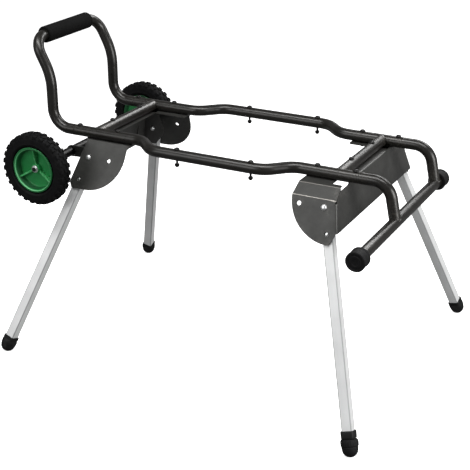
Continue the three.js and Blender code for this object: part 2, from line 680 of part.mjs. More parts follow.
function tyreBody() {
  const r0 = RIM_R - 1.2;
  let tyre = solid(turned([
    [r0, -13.5], [RIM_R + 4, -13.5], [RIM_R + 4.5, -19], [RIM_R + 12, -TYRE_W / 2],
    [TYRE_R - 14, -TYRE_W / 2], [TYRE_R - 5, -TYRE_W / 2 + 4],
    [TYRE_R - 3.2, -12], [TYRE_R - 3.2, 12], [TYRE_R - 5, TYRE_W / 2 - 4],
    [TYRE_R - 14, TYRE_W / 2], [RIM_R + 12, TYRE_W / 2],
    [RIM_R + 4.5, 19], [RIM_R + 4, 13.5], [r0, 13.5], [r0, -13.5],
  ], 28));
  const lugs = [];
  const n = 16;
  for (let i = 0; i < n; i++) {
    for (const row of [-1, 1]) {
      const a = 360 * (i + (row > 0 ? 0.5 : 0)) / n;
      const lug = box(TYRE_R - 10, TYRE_R, -9, 9, row * 10.5 - 8.5, row * 10.5 + 8.5).rotateZ(rad(a));
      lugs.push(solid(lug));
    }
  }
  return tyre.add(wasm.Manifold.union(lugs));
}
const rimShell = shell(rimBody());
const tyreShell = shell(tyreBody());
for (const [side, s] of Object.entries(sides)) {
  const wheel = new THREE.Group();
  wheel.position.set(WHEEL_X, s * WHEEL_Y, WHEEL_Z);
  wheel.rotation.set(rad(-90 * s), 0, 0);
  layout.add(wheel);
  add(`${side}_wheel_rim`, rimShell.clone(), MAT.green, wheel);
  add(`${side}_wheel_tyre`, tyreShell.clone(), MAT.rubber, wheel);
  const nut = turned([
    [SPINDLE_R + GAP, HUB_FACE + 0.8], [10, HUB_FACE + 0.8], [10, HUB_FACE + 2.2], [8.6, HUB_FACE + 2.4],
    [8.2, HUB_FACE + 6], [SPINDLE_R + GAP, HUB_FACE + 6], [SPINDLE_R + GAP, HUB_FACE + 0.8],
  ], 14);
  add(`${side}_push_nut`, nut, MAT.zinc, wheel);
}

export default group;
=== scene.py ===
"""Looks of a folding, wheeled saw stand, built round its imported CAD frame."""

import json
import math

import bmesh
import bpy
from mathutils import Matrix, Vector
from mathutils.geometry import delaunay_2d_cdt

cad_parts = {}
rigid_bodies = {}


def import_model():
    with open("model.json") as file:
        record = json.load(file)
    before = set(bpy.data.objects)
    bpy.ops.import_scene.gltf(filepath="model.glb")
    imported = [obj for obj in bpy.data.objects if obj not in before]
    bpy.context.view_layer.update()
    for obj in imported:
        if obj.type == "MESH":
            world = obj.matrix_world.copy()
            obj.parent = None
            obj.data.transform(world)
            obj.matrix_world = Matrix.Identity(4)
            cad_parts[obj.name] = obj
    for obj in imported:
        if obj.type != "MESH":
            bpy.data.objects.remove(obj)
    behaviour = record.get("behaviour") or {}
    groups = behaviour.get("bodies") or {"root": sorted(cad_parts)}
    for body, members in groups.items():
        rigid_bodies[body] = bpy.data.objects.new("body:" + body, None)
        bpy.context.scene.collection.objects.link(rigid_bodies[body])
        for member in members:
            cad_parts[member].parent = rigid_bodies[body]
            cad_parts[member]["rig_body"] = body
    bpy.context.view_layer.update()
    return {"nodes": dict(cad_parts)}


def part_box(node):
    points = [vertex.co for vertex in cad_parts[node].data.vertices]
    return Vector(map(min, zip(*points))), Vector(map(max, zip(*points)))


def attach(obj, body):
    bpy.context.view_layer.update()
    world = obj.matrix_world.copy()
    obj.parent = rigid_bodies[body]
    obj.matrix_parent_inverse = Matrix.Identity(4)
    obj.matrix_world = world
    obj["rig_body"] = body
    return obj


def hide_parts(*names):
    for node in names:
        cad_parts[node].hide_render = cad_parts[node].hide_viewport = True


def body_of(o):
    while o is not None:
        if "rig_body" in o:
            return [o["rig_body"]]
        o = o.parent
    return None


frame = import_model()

# ------------------------------------------------------------------ layout (mm, X along the rails)
WHEEL_X, WHEEL_Z, WHEEL_Y = -508.0, 529.0, 281.0
TUBE_R, BORE_R, PLUG_R = 15.0, 13.2, 12.3
RAIL_Z, RAIL_END_Y, RAIL_MID_Y = 609.0, 153.0, 211.0
RAIL_X0, RAIL_X1 = -460.0, 379.0
JOG_X0, JOG_X1, JOG_R = -216.0, 171.0, 60.0
PLUG_LEN = 42.0
MID_BOLT_X = 107.0
CROSSBAR_X = (-394.0, 323.0)
CROSSBAR_BOLT_Y = 72.0
HANDLE_X, HANDLE_FOOT_R = -535.5, 52.0
HANDLE_KINK_Z, HANDLE_KINK_R, HANDLE_LEAN = 752.0, 150.0, 27.0
HANDLE_TOP_Z, HANDLE_CORNER_R = 851.0, 46.0
GRIP_R, GRIP_LEN = 23.0, 208.0
ELBOW_X, ELBOW_R, ELBOW_LEAN, BAR_Z = 415.0, 50.0, 11.6, 509.0
BAR_Y0, BAR_Y1 = -420.0, 205.0
CAP_R, CAP_LEN, CAP_FLOOR = 25.0, 36.0, 7.0
TYRE_R, RIM_R = 101.5, 63.0
AXLE_R, EAR_R, SPINDLE_R = 13.0, 16.2, 6.0
SHEET, LEG, LEG_WALL, LEG_ABOVE, LEG_SET = 3.0, 27.0, 1.8, 12.0, 4.0
LOCK, PIVOT_R, BUTTON_R = 66.0, 4.0, 4.2
FOOT_R, SLEEVE_TOP, SOCKET_TOP = 20.0, 13.0, 31.0
HUB_FACE, SPINDLE_END = 7.0, 15.0
FLANGE_Z = RAIL_Z - TUBE_R - 0.3
FLANGE_Y = 128.0                  # inner edge of a bracket's flange
CORNER_R = 5.0                    # corner between a hanging plate and the cross panel
PLATE_HOLE_R = 5.8                # lock holes
CAP_BORE_R = TUBE_R + 0.2         # grip and bar caps, round the tube
PIN_NECK, PIN_TAIL = 14.7, 16.7   # lock pin's tip to its shoulder and to its inner end

ENDS = {
    "wheel_end": {
        "sign": -1, "splay": 22.2, "lean": 17.0, "creaseY": 169.2, "creaseZ": FLANGE_Z, "shoulderY": 169.2,
        "pivotX": -402.0, "pivotS": 49.5,
        "panelX": -449.5, "panelZ": 483.0, "panelK": 0.31, "panelBottom": 483.0,
        "boltX": -325.0, "railBoltX": -447.0,
    },
    "bar_end": {
        "sign": 1, "splay": 20.7, "lean": 16.35, "creaseY": 241.5, "creaseZ": 573.0, "shoulderY": 204.0,
        "pivotX": 324.5, "pivotS": 19.5,
        "panelX": 370.5, "panelZ": 498.0, "panelK": 0.212, "panelBottom": 499.0,
        "boltX": 265.0, "railBoltX": 368.0,
    },
}
for e in ENDS.values():
    e["splay"] = math.radians(e["splay"])
    e["lean"] = math.radians(e["lean"])
    e["sin"] = math.sin(e["splay"])
    e["cos"] = math.cos(e["splay"])
SIDES = {"front": -1, "rear": 1}

# the layout's origin in the row frame, taken from the imported axle
lo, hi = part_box("axle")
ORIGIN = (lo + hi) / 2 * 1000 - Vector((WHEEL_X, 0, WHEEL_Z))


def P(x, y, z):
    return (Vector((x, y, z)) + ORIGIN) / 1000


# ------------------------------------------------------------------ node materials
def srgb(r, g, b):
    out = []
    for c in (r, g, b):
        c /= 255
        out.append(c / 12.92 if c <= 0.04045 else ((c + 0.055) / 1.055) ** 2.4)
    return (*out, 1.0)


class Mat:
    """A principled material whose colour, roughness and bump come from layered object-space noise."""

    def __init__(self, name, metallic=0.0, **fixed):
        self.m = bpy.data.materials.new(name)
        self.m.use_nodes = True
        self.t = self.m.node_tree
        self.b = self.t.nodes["Principled BSDF"]
        self.b.inputs["Metallic"].default_value = metallic
        for k, v in fixed.items():
            self.b.inputs[k.replace("_", " ")].default_value = v
        self.co = self.t.nodes.new("ShaderNodeTexCoord").outputs["Object"]
        self.height = None

    def link(self, a, b):
        self.t.links.new(a, b)

    def node(self, kind, vec, **values):
        """A node fed by coordinates, with its inputs set by name."""
        n = self.t.nodes.new("ShaderNode" + kind)
        for key, value in values.items():
            n.inputs[key].default_value = value
        self.link(vec or self.co, n.inputs["Vector"])
        return n

    def own(self):
        """Coordinates along the piece's own axes, kept when the mesh was placed."""
        n = self.t.nodes.new("ShaderNodeAttribute")
        n.attribute_name = "own"
        return n.outputs["Vector"]

    def scaled(self, sx, sy, sz, vec=None):
        return self.node("Mapping", vec, Scale=(sx, sy, sz)).outputs["Vector"]

    def noise(self, scale, detail=3.0, rough=0.55, vec=None):
        return self.node("TexNoise", vec, Scale=scale, Detail=detail, Roughness=rough).outputs["Fac"]

    def cells(self, scale):
        return self.node("TexVoronoi", None, Scale=scale).outputs["Distance"]

    def remap(self, fac, a, b, c, d):
        n = self.t.nodes.new("ShaderNodeMapRange")
        for i, v in zip(("From Min", "From Max", "To Min", "To Max"), (a, b, c, d)):
            n.inputs[i].default_value = v
        self.link(fac, n.inputs["Value"])
        return n.outputs["Result"]

    def math(self, op, a, b):
        n = self.t.nodes.new("ShaderNodeMath")
        n.operation = op
        for i, v in enumerate((a, b)):
            if isinstance(v, (int, float)):
                n.inputs[i].default_value = v
            else:
                self.link(v, n.inputs[i])
        return n.outputs[0]

    def ramp(self, fac, *stops):
        n = self.t.nodes.new("ShaderNodeValToRGB")
        e = n.color_ramp.elements
        while len(e) < len(stops):
            e.new(0.5)
        for el, (p, c) in zip(e, stops):
            el.position = p
            el.color = c
        self.link(fac, n.inputs["Fac"])
        return n.outputs["Color"]

    def mix(self, fac, a, b):
        n = self.t.nodes.new("ShaderNodeMix")
        n.data_type = "RGBA"
        for name, v in (("A", a), ("B", b)):
            socket = [s for s in n.inputs if s.name == name and s.type == "RGBA"][0]
            if isinstance(v, tuple):
                socket.default_value = v
            else:
                self.link(v, socket)
        self.link(fac, n.inputs["Factor"])
        return [s for s in n.outputs if s.type == "RGBA"][0]

    def tones(self, scale, detail, dark, light, low=0.3, high=0.7):
        """Noise that runs between two colours."""
        return self.ramp(self.noise(scale, detail), (low, srgb(*dark)), (high, srgb(*light)))

    def mottle(self, scale, detail, low, high):
        """Roughness that wanders between two values."""
        return self.rough(self.remap(self.noise(scale, detail), 0.3, 0.7, low, high))

    def colour(self, out):
        self.link(out, self.b.inputs["Base Color"])
        return self

    def rough(self, out):
        self.link(out, self.b.inputs["Roughness"])
        return self

    def bump(self, out, distance, strength=1.0):
        n = self.t.nodes.new("ShaderNodeBump")
        n.inputs["Distance"].default_value = distance
        n.inputs["Strength"].default_value = strength
        self.link(out, n.inputs["Height"])
        if self.height is not None:
            self.link(self.height, n.inputs["Normal"])
        self.height = n.outputs["Normal"]
        self.link(self.height, self.b.inputs["Normal"])
        return self

    def edge_wear(self, base, pale_tone, low=0.52, high=0.6, amount=0.6):
        """base colour, lightened towards worn on convex edges"""
        g = self.t.nodes.new("ShaderNodeNewGeometry")
        f = self.remap(g.outputs["Pointiness"], low, high, 0.0, amount)
        f = self.math("MULTIPLY", f, self.remap(self.noise(180, 4), 0.4, 0.62, 0.0, 1.0))
        return self.mix(f, base, pale_tone)


def powder_coat(name, dark, light, pale_tone, rough_a, rough_b, metallic, wear=0.6):
    grain, depth = 1500.0, 0.00006
    m = Mat(name, metallic=metallic, Coat_Weight=0.12, Coat_Roughness=0.3)
    base = m.ramp(m.noise(26, 5, 0.6), (0.3, dark), (0.72, light))
    # painted highlight: the colour lightens along the folds of a sheet
    fold_highlight = m.t.nodes.new("ShaderNodeAttribute")
    fold_highlight.attribute_name = "fold_highlight"
    base = m.mix(m.remap(fold_highlight.outputs["Fac"], 0.0, 1.0, 0.0, 0.8), base, pale_tone)
    m.colour(m.edge_wear(base, pale_tone, amount=wear))
    broad = m.math("MULTIPLY", m.noise(60, 4), 0.7)
    mottled = m.math("ADD", broad, m.math("MULTIPLY", m.noise(420, 2), 0.3))
    m.rough(m.remap(mottled, 0.3, 0.7, rough_a, rough_b))
    m.bump(m.noise(grain, 2), depth)
    m.bump(m.noise(190, 3), depth * 2.2, 0.6)
    return m.m


TUBE = powder_coat("tube_powder_coat", srgb(23, 22, 20), srgb(32, 30, 27), srgb(76, 73, 68), 0.25, 0.37, 0.35)
# its pale tone is the painted highlight along the folds, and a little edge wear
PLATE = powder_coat(
    "sheet_powder_coat", srgb(48, 48, 46), srgb(61, 61, 59), srgb(158, 154, 148), 0.42, 0.56, 0.3, wear=0.1)

# drawn alloy: fine lines along the leg; painted shade darkens each rounded corner
m = Mat("leg_anodised", metallic=0.3)
m.co = m.own()
lines = m.noise(1.0, 4, 0.6, m.scaled(900, 900, 5))
cloud = m.noise(14, 4)
base = m.ramp(cloud, (0.3, srgb(214, 215, 215)), (0.75, srgb(226, 227, 227)))
across = m.t.nodes.new("ShaderNodeSeparateXYZ")
m.link(m.co, across.inputs[0])
width = [m.math("ABSOLUTE", across.outputs[k], 0.0) for k in "XY"]
# painted shade: a darker line along each rounded corner of the tube
m.colour(m.mix(m.remap(m.math("MINIMUM", *width), 0.0104, 0.0116, 0.0, 0.75), base, srgb(120, 121, 122)))
m.rough(m.remap(lines, 0.3, 0.7, 0.44, 0.58))
m.bump(lines, 0.00003, 0.8)
m.bump(m.noise(1.0, 2, 0.5, m.scaled(120, 120, 2)), 0.00008, 0.5)
ALLOY = m.m

m = Mat("zinc_plate", metallic=1.0)
m.colour(m.tones(240, 5, (196, 198, 200), (236, 237, 236)))
m.rough(m.remap(m.cells(900), 0.0, 0.8, 0.3, 0.46))
m.bump(m.noise(900, 2), 0.00003)
ZINC = m.m

m = Mat("black_oxide", metallic=0.7)
m.colour(m.edge_wear(m.tones(300, 4, (22, 22, 22), (34, 33, 32)), srgb(110, 108, 104), amount=0.5))
m.mottle(500, 3, 0.32, 0.5)
m.bump(m.noise(1400, 2), 0.00003)
BOLT = m.m

m = Mat("axle_paint", metallic=0.2, Specular_IOR_Level=0.3)
m.colour(m.tones(40, 4, (13, 13, 13), (22, 21, 20)))
m.mottle(160, 3, 0.3, 0.46)
m.bump(m.noise(700, 2), 0.00005)
AXLE = m.m

m = Mat("moulded_black_plastic", Specular_IOR_Level=0.25)
m.colour(m.edge_wear(m.tones(60, 4, (9, 9, 10), (15, 15, 16)), srgb(52, 52, 52), amount=0.35))
m.mottle(300, 3, 0.42, 0.58)
m.bump(m.cells(1100), 0.00004, 0.7)
PLASTIC = m.m

m = Mat("moulded_rubber", Specular_IOR_Level=0.2)
m.colour(m.edge_wear(m.tones(45, 5, (8, 8, 9), (14, 14, 15), high=0.72), srgb(48, 48, 50), amount=0.35))
m.mottle(220, 4, 0.55, 0.78)
m.bump(m.noise(1000, 3), 0.00007)
RUBBER = m.m

m = Mat("tyre_rubber", Specular_IOR_Level=0.12)
dust = m.remap(m.noise(30, 6, 0.65), 0.5, 0.78, 0.0, 0.25)
m.colour(m.mix(dust, m.tones(90, 4, (6, 6, 7), (13, 13, 14)), srgb(34, 33, 31)))
m.mottle(150, 4, 0.6, 0.85)
m.bump(m.noise(620, 4), 0.00012)
TYRE = m.m

m = Mat("rim_moulded_green", Specular_IOR_Level=0.45)
own = m.own()
flat = m.t.nodes.new("ShaderNodeVectorMath")
flat.operation = "LENGTH"
m.link(m.scaled(1, 1, 0, own), flat.inputs[0])
depth = m.t.nodes.new("ShaderNodeSeparateXYZ")
m.link(own, depth.inputs[0])
radius, height = flat.outputs["Value"], depth.outputs["Z"]
base = m.tones(22, 5, (18, 126, 60), (30, 144, 72), high=0.75)
# painted shade in the dish wall, on the inboard side and in a thin band just outside the lip; a painted
# highlight on the lip
painted_wall_shade = m.math("MULTIPLY", m.remap(radius, 0.0525, 0.055, 0, 0.9), m.remap(height, 0.0175, 0.015, 0, 1))
painted_lip_highlight = m.math("MULTIPLY", m.remap(radius, 0.0563, 0.057, 0, 0.5), m.remap(radius, 0.0588, 0.0596, 1, 0))
painted_lip_highlight = m.math("MULTIPLY", painted_lip_highlight, m.remap(height, 0.0178, 0.019, 0, 1))
# painted shadow in a thin band outside the lip, where the tyre meets the rim
shade = m.math("MAXIMUM", painted_wall_shade, m.remap(radius, 0.0592, 0.0602, 0, 0.6))
# painted shade over the inboard side of the rim
shade = m.math("MAXIMUM", shade, m.remap(height, -0.004, -0.008, 0, 0.6))
# mixes in the painted shade colour, then the painted lip highlight
base = m.mix(painted_lip_highlight, m.mix(shade, base, srgb(7, 48, 24)), srgb(140, 196, 156))
m.colour(m.edge_wear(base, srgb(110, 190, 130), amount=0.45))
m.mottle(260, 3, 0.36, 0.52)
m.bump(m.noise(900, 2), 0.00005)
GREEN = m.m

m = Mat("grip_foam", Specular_IOR_Level=0.08)
m.colour(m.tones(700, 4, (7, 7, 7), (15, 15, 15), low=0.35, high=0.68))
m.mottle(400, 3, 0.78, 0.95)
m.bump(m.cells(1500), 0.00022, 0.9)
m.bump(m.noise(260, 4), 0.0003, 0.6)
FOAM = m.m


# ------------------------------------------------------------------ mesh helpers (input in mm)
def finish_mesh(name, bm, material, matrix=None, sharp=35.0):
    """Turns a bmesh in mm into a smooth-shaded object in metres."""
    bmesh.ops.scale(bm, vec=(0.001,) * 3, verts=bm.verts)
    me = bpy.data.meshes.new(name)
    bm.to_mesh(me)
    bm.free()
    # the piece's own axes stay on it as an attribute, for finishes that run along it
    own = me.attributes.new("own", "FLOAT_VECTOR", "POINT")
    co = [c for v in me.vertices for c in v.co]
    own.data.foreach_set("vector", co)
    me.transform(matrix or Matrix.Translation(ORIGIN / 1000))
    for p in me.polygons:
        p.use_smooth = True
    me.set_sharp_from_angle(angle=math.radians(sharp))
    me.materials.append(material)
    ob = bpy.data.objects.new(name, me)
    bpy.context.scene.collection.objects.link(ob)
    return ob


def bevel(ob, width, segments=2, angle=35.0):
    """Rounds the sharp edges, in mm, and keeps the flats flat."""
    for p in ob.data.polygons:
        p.use_smooth = True
    if "sharp_edge" in ob.data.attributes:
        ob.data.attributes.remove(ob.data.attributes["sharp_edge"])
    mod = ob.modifiers.new("edge_round", "BEVEL")
    mod.width = width / 1000
    mod.segments = segments
    mod.limit_method = "ANGLE"
    mod.angle_limit = math.radians(angle)
    mod.harden_normals = True
    mod.miter_outer = "MITER_ARC"
    return ob


def stand_for(ob, slot_name, *nodes):
    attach(ob, body_of(frame["nodes"][nodes[0]])[0])
    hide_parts(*nodes)
    return ob


def closed_piece(slot_name, node, name, bm, material, matrix=None, sharp=35.0):
    """Turns a closed skin's faces outwards and puts the piece in its node's place."""
    bmesh.ops.recalc_face_normals(bm, faces=bm.faces)
    return stand_for(finish_mesh(name, bm, material, matrix, sharp), slot_name, node)


def polar(r, a):
    return r * math.cos(a), r * math.sin(a)


def fillet(corners, step=4.0):
    """Points along a line with round bends. Each corner is (x, y, z, bend radius)."""
    p = [Vector(c[:3]) for c in corners]
    out = [p[0]]
    for i in range(1, len(p) - 1):
        a = (p[i] - p[i - 1]).normalized()
        b = (p[i + 1] - p[i]).normalized()
        turn = a.angle(b)
        r = corners[i][3] if len(corners[i]) > 3 else 0.0
        if turn < 1e-5 or r <= 0:
            out.append(p[i])
            continue
        start = p[i] - a * (r * math.tan(turn / 2))
        inward = (b - a * a.dot(b)).normalized()
        n = max(3, round(math.degrees(turn) / step))
        for k in range(n + 1):
            w = turn * k / n
            out.append(start + a * (r * math.sin(w)) + inward * (r * (1 - math.cos(w))))
    out.append(p[-1])
    return out


def frames(points):
    """A tangent and two cross directions at each point, carried along without twist."""
    n = len(points)
    tangents = []
    for i in range(n):
        a = points[max(i - 1, 0)]
        b = points[min(i + 1, n - 1)]
        if 0 < i < n - 1:
            t = (points[i] - a).normalized() + (b - points[i]).normalized()
        else:
            t = b - a
        tangents.append(t.normalized())
    u = tangents[0].orthogonal().normalized()
    out = []
    for t in tangents:
        u = (u - t * t.dot(u)).normalized()
        out.append((t, u, t.cross(u)))
    return out


def bridge(bm, rings, closed=False):
    """Joins rings of vertices one after another."""
    pairs = list(zip(rings, rings[1:]))
    if closed:
        pairs.append((rings[-1], rings[0]))
    for a, b in pairs:
        n = len(a)
        for i in range(n):
            j = (i + 1) % n
            bm.faces.new((a[i], a[j], b[j], b[i]))


def cap(bm, rings):
    """Closes both ends of a stack of rings."""
    bm.faces.new(rings[0][::-1])
    bm.faces.new(rings[-1])


def tube_rings(bm, points, radius, segs, ends=((0, 0), (0, 0))):
    """Rings of a round tube; ends holds (inset along, inset in radius) of a small chamfer at each end."""
    fr = frames(points)
    spots = [(p, f, radius) for p, f in zip(points, fr)]
    (l0, d0), (l1, d1) = ends
    if l0 > 0:
        p, f, r = spots[0]
        spots[0] = (p + f[0] * l0, f, r)
        spots.insert(0, (p, f, r - d0))
    if l1 > 0:
        p, f, r = spots[-1]
        spots[-1] = (p - f[0] * l1, f, r)
        spots.append((p, f, r - d1))
    rings = []
    for p, (_, u, v), r in spots:
        ring = []
        for k in range(segs):
            a = 2 * math.pi * k / segs
            ring.append(bm.verts.new(p + u * (r * math.cos(a)) + v * (r * math.sin(a))))
        rings.append(ring)
    return rings


def pipe(bm, points, radius=TUBE_R, bore=BORE_R, segs=40):
    """A hollow tube with lightly chamfered ends, as one closed skin."""
    outer = tube_rings(bm, points, radius, segs, ((0.5, 0.5), (0.5, 0.5)))
    inner = tube_rings(bm, points, bore, segs)
    bridge(bm, outer + inner[::-1], closed=True)


def turn(bm, profile, segs=48, matrix=None, closed=None):
    """Turned skin round Z from (radius, z) points. Ends on the axis become single points."""
    matrix = matrix or Matrix.Identity(4)
    rings = []
    for r, z in profile:
        if r < 1e-6:
            rings.append([bm.verts.new(matrix @ Vector((0, 0, z)))])
        else:
            rings.append([
                bm.verts.new(matrix @ Vector((*polar(r, 2 * math.pi * k / segs), z)))
                for k in range(segs)
            ])
    pairs = list(zip(rings, rings[1:]))
    if closed or (closed is None and len(rings[0]) > 1):
        pairs.append((rings[-1], rings[0]))
    for a, b in pairs:
        for i in range(segs):
            j = (i + 1) % segs
            if len(a) == 1 and len(b) == 1:
                continue
            if len(a) == 1:
                bm.faces.new((a[0], b[j], b[i]))
            elif len(b) == 1:
                bm.faces.new((a[i], a[j], b[0]))
            else:
                bm.faces.new((a[i], a[j], b[j], b[i]))


def soften(profile, radii, step=18.0, closed=False):
    """Rounds the corners of a flat outline. radii is one number or one per corner."""
    n = len(profile)
    if not isinstance(radii, (list, tuple)):
        radii = [radii] * n
    out = []
    for i in range(n):
        p = Vector(profile[i])
        if (not closed and i in (0, n - 1)) or radii[i] <= 0:
            out.append(tuple(p))
            continue
        a = Vector(profile[i - 1]) - p
        b = Vector(profile[(i + 1) % n]) - p
        if a.length < 1e-9 or b.length < 1e-9:
            out.append(tuple(p))
            continue
        ang = a.angle(b)
        if ang > math.radians(176):
            out.append(tuple(p))
            continue
        r = radii[i]
        cut = min(r / math.tan(ang / 2), a.length * 0.48, b.length * 0.48)
        r = cut * math.tan(ang / 2)
        a.normalize()
        b.normalize()
        c = p + (a + b).normalized() * (r / math.sin(ang / 2))
        s, e = p + a * cut - c, p + b * cut - c
        sweep = s.angle(e)
        k = max(1, math.ceil(math.degrees(sweep) / step))
        sgn = 1 if s.x * e.y - s.y * e.x > 0 else -1
        for q in range(k + 1):
            w = sgn * sweep * q / k
            cos, sin = math.cos(w), math.sin(w)
            out.append((c.x + s.x * cos - s.y * sin, c.y + s.x * sin + s.y * cos))
    return out


def circle(cx, cy, r, n=32):
    return [(cx + x, cy + y) for x, y in (polar(r, 2 * math.pi * k / n) for k in range(n))]


def inside(loops, x, y):
    """Whether a point is inside an outline and outside its holes."""
    hit = False
    for loop in loops:
        for i in range(len(loop)):
            x0, y0 = loop[i]
            x1, y1 = loop[(i + 1) % len(loop)]
            if (y0 > y) != (y1 > y) and x < (x1 - x0) * (y - y0) / (y1 - y0) + x0:
                hit = not hit
    return hit


def near(loops, x, y, d):
    """Whether a point is closer than d to any loop."""
    for loop in loops:
        for i in range(len(loop)):
            a = Vector(loop[i])
            e = Vector(loop[(i + 1) % len(loop)]) - a
            q = Vector((x, y)) - a
            t = min(1, max(0, q.dot(e) / max(e.length_squared, 1e-9)))
            if (q - e * t).length < d:
                return True
    return False


def split_rows(loop, rows):
    """Adds a point wherever the outline crosses a row."""
    out = []
    for i in range(len(loop)):
        x0, y0 = loop[i]
        x1, y1 = loop[(i + 1) % len(loop)]
        out.append((x0, y0))
        cuts = [r for r in rows if min(y0, y1) + 1e-4 < r < max(y0, y1) - 1e-4]
        cuts.sort(reverse=y1 < y0)
        for r in cuts:
            t = (r - y0) / (y1 - y0)
            out.append((x0 + (x1 - x0) * t, r))
    return out


def flat_mesh(bm, outline, holes, place, rows=(), pitch=14.0, facing=None, highlight_bands=()):
    """Fills a flat outline with holes, then puts each flat point in space with place(u, v)."""
    loops = [split_rows(outline, rows)] + [split_rows(h, rows) for h in holes]
    pts, edges = [], []
    for loop in loops:
        base = len(pts)
        pts += loop
        edges += [(base + i, base + (i + 1) % len(loop)) for i in range(len(loop))]
    us = [p[0] for p in outline]
    vs = [p[1] for p in outline]
    n_u = max(2, math.ceil((max(us) - min(us)) / pitch))
    levels = set(rows)
    n_v = max(2, math.ceil((max(vs) - min(vs)) / pitch))
    for k in range(1, n_v):
        v = min(vs) + (max(vs) - min(vs)) * k / n_v
        if all(abs(v - r) > pitch * 0.35 for r in rows):
            levels.add(v)
    for v in sorted(levels):
        for k in range(1, n_u):
            u = min(us) + (max(us) - min(us)) * k / n_u
            if inside(loops, u, v) and not near(loops, u, v, 0.8):
                pts.append((u, v))
    co, _, faces, _, _, _ = delaunay_2d_cdt([Vector(p) for p in pts], edges, [], 0, 1e-5)
    # weight for the painted highlight along the bends, inside the given bands
    fold_highlight = bm.verts.layers.float.get("fold_highlight") or bm.verts.layers.float.new("fold_highlight")
    verts = [bm.verts.new(place(c.x, c.y)) for c in co]
    for v, c in zip(verts, co):
        v[fold_highlight] = 1.0 if any(a < c.y < b for a, b in highlight_bands) else 0.0
    made = []
    for f in faces:
        cx = sum(co[i].x for i in f) / len(f)
        cy = sum(co[i].y for i in f) / len(f)
        if inside(loops, cx, cy):
            made.append(bm.faces.new([verts[i] for i in f]))
    for v in verts:
        if not v.link_faces:
            bm.verts.remove(v)
    orient(bm, made, facing)
    return made


def orient(bm, faces, facing):
    """Turns the faces so that they look along facing on the whole."""
    if facing is None:
        return
    bmesh.ops.recalc_face_normals(bm, faces=faces)
    total = Vector()
    for f in faces:
        f.normal_update()
        total += f.normal * f.calc_area()
    if total.dot(facing) < 0:
        bmesh.ops.reverse_faces(bm, faces=faces)


def folded(line, radii, n=7):
    """Folds a flat strip along line: place along v, rows of v inside the bends, v at each corner."""
    p = [Vector(q) for q in line]
    at = [0.0]
    for a, b in zip(p, p[1:]):
        at.append(at[-1] + (b - a).length)
    bends, rows = [], []
    for i in range(1, len(p) - 1):
        a = (p[i] - p[i - 1]).normalized()
        b = (p[i + 1] - p[i]).normalized()
        th = a.angle(b)
        cut = radii[i - 1] * math.tan(th / 2)
        inward = (b - a * a.dot(b)).normalized()
        bends.append((at[i] - cut, at[i] + cut, p[i] - a * cut, a, inward, th, radii[i - 1]))
        rows += [at[i] - cut + 2 * cut * k / n for k in range(n + 1)]

    def place(v):
        for v0, v1, q, a, inward, th, r in bends:
            if v0 <= v <= v1:
                w = th * (v - v0) / (v1 - v0)
                return q + a * (r * math.sin(w)) + inward * (r * (1 - math.cos(w)))
        k = 0
        while k < len(p) - 2 and v > at[k + 1]:
            k += 1
        return p[k] + (p[k + 1] - p[k]).normalized() * (v - at[k])

    return place, rows, at


def slab(bm, outline, holes, place3, thick):
    """Closed plate: outline in (u, v), thickness along w, placed by place3(u, v, w)."""
    start = set(bm.faces)
    flat_mesh(bm, outline, holes, lambda u, v: place3(u, v, 0.0), pitch=18.0)
    faces = [f for f in bm.faces if f not in start]
    made = bmesh.ops.extrude_face_region(bm, geom=faces)
    verts = [g for g in made["geom"] if isinstance(g, bmesh.types.BMVert)]
    off = place3(0, 0, thick) - place3(0, 0, 0)
    bmesh.ops.translate(bm, vec=off, verts=verts)
    bmesh.ops.recalc_face_normals(bm, faces=[f for f in bm.faces if f not in start])


# ------------------------------------------------------------------ tubes
h = (RAIL_MID_Y - RAIL_END_Y) / 2    # half the run of an S bend
for side, s in SIDES.items():
    bm = bmesh.new()
    pipe(bm, fillet([
        (RAIL_X0, s * RAIL_END_Y, RAIL_Z),
        (JOG_X0 - h, s * RAIL_END_Y, RAIL_Z, JOG_R),
        (JOG_X0 + h, s * RAIL_MID_Y, RAIL_Z, JOG_R),
        (JOG_X1 - h, s * RAIL_MID_Y, RAIL_Z, JOG_R),
        (JOG_X1 + h, s * RAIL_END_Y, RAIL_Z, JOG_R),
        (RAIL_X1, s * RAIL_END_Y, RAIL_Z),
    ]))
    closed_piece("tube_coat", f"{side}_rail", f"{side}_rail_tube", bm, TUBE)

for name, x in zip(("wheel_end_crossbar", "bar_end_crossbar"), CROSSBAR_X):
    bm = bmesh.new()
    segs = 48
    rings = []
    for r, order in ((TUBE_R, (-1, 1)), (BORE_R, (1, -1))):
        for s in order:
            steps = (1.0, 0.55, 0.0) if s == order[0] else (0.0, 0.55, 1.0)
            for f in steps:
                ring = []
                for k in range(segs):
                    a = 2 * math.pi * k / segs
                    dz = r * math.sin(a)
                    end = RAIL_END_Y - math.sqrt(max((TUBE_R + 0.3) ** 2 - dz * dz, 0))
                    y = s * (end if f == 1.0 else 120.0 * f + (1 - f))
                    ring.append(bm.verts.new((x + r * math.cos(a), y, RAIL_Z + dz)))
                rings.append(ring)
    bridge(bm, rings, closed=True)
    bmesh.ops.remove_doubles(bm, verts=bm.verts, dist=0.001)
    closed_piece("tube_coat", name, f"{name}_tube", bm, TUBE)


to_x = Matrix.Rotation(math.pi / 2, 4, "Y")


def plug(bm, x0, x1, s):
    """Reduced end that slides into a rail, tapered at its mouth."""
    bore = PLUG_R - 1.8
    turn(bm, [
        (PLUG_R - 1.2, x0), (PLUG_R, x0 + math.copysign(3, x1 - x0)), (PLUG_R, x1), (bore, x1), (bore, x0),
    ], 36, Matrix.Translation((0, s * RAIL_END_Y, RAIL_Z)) @ to_x, closed=True)


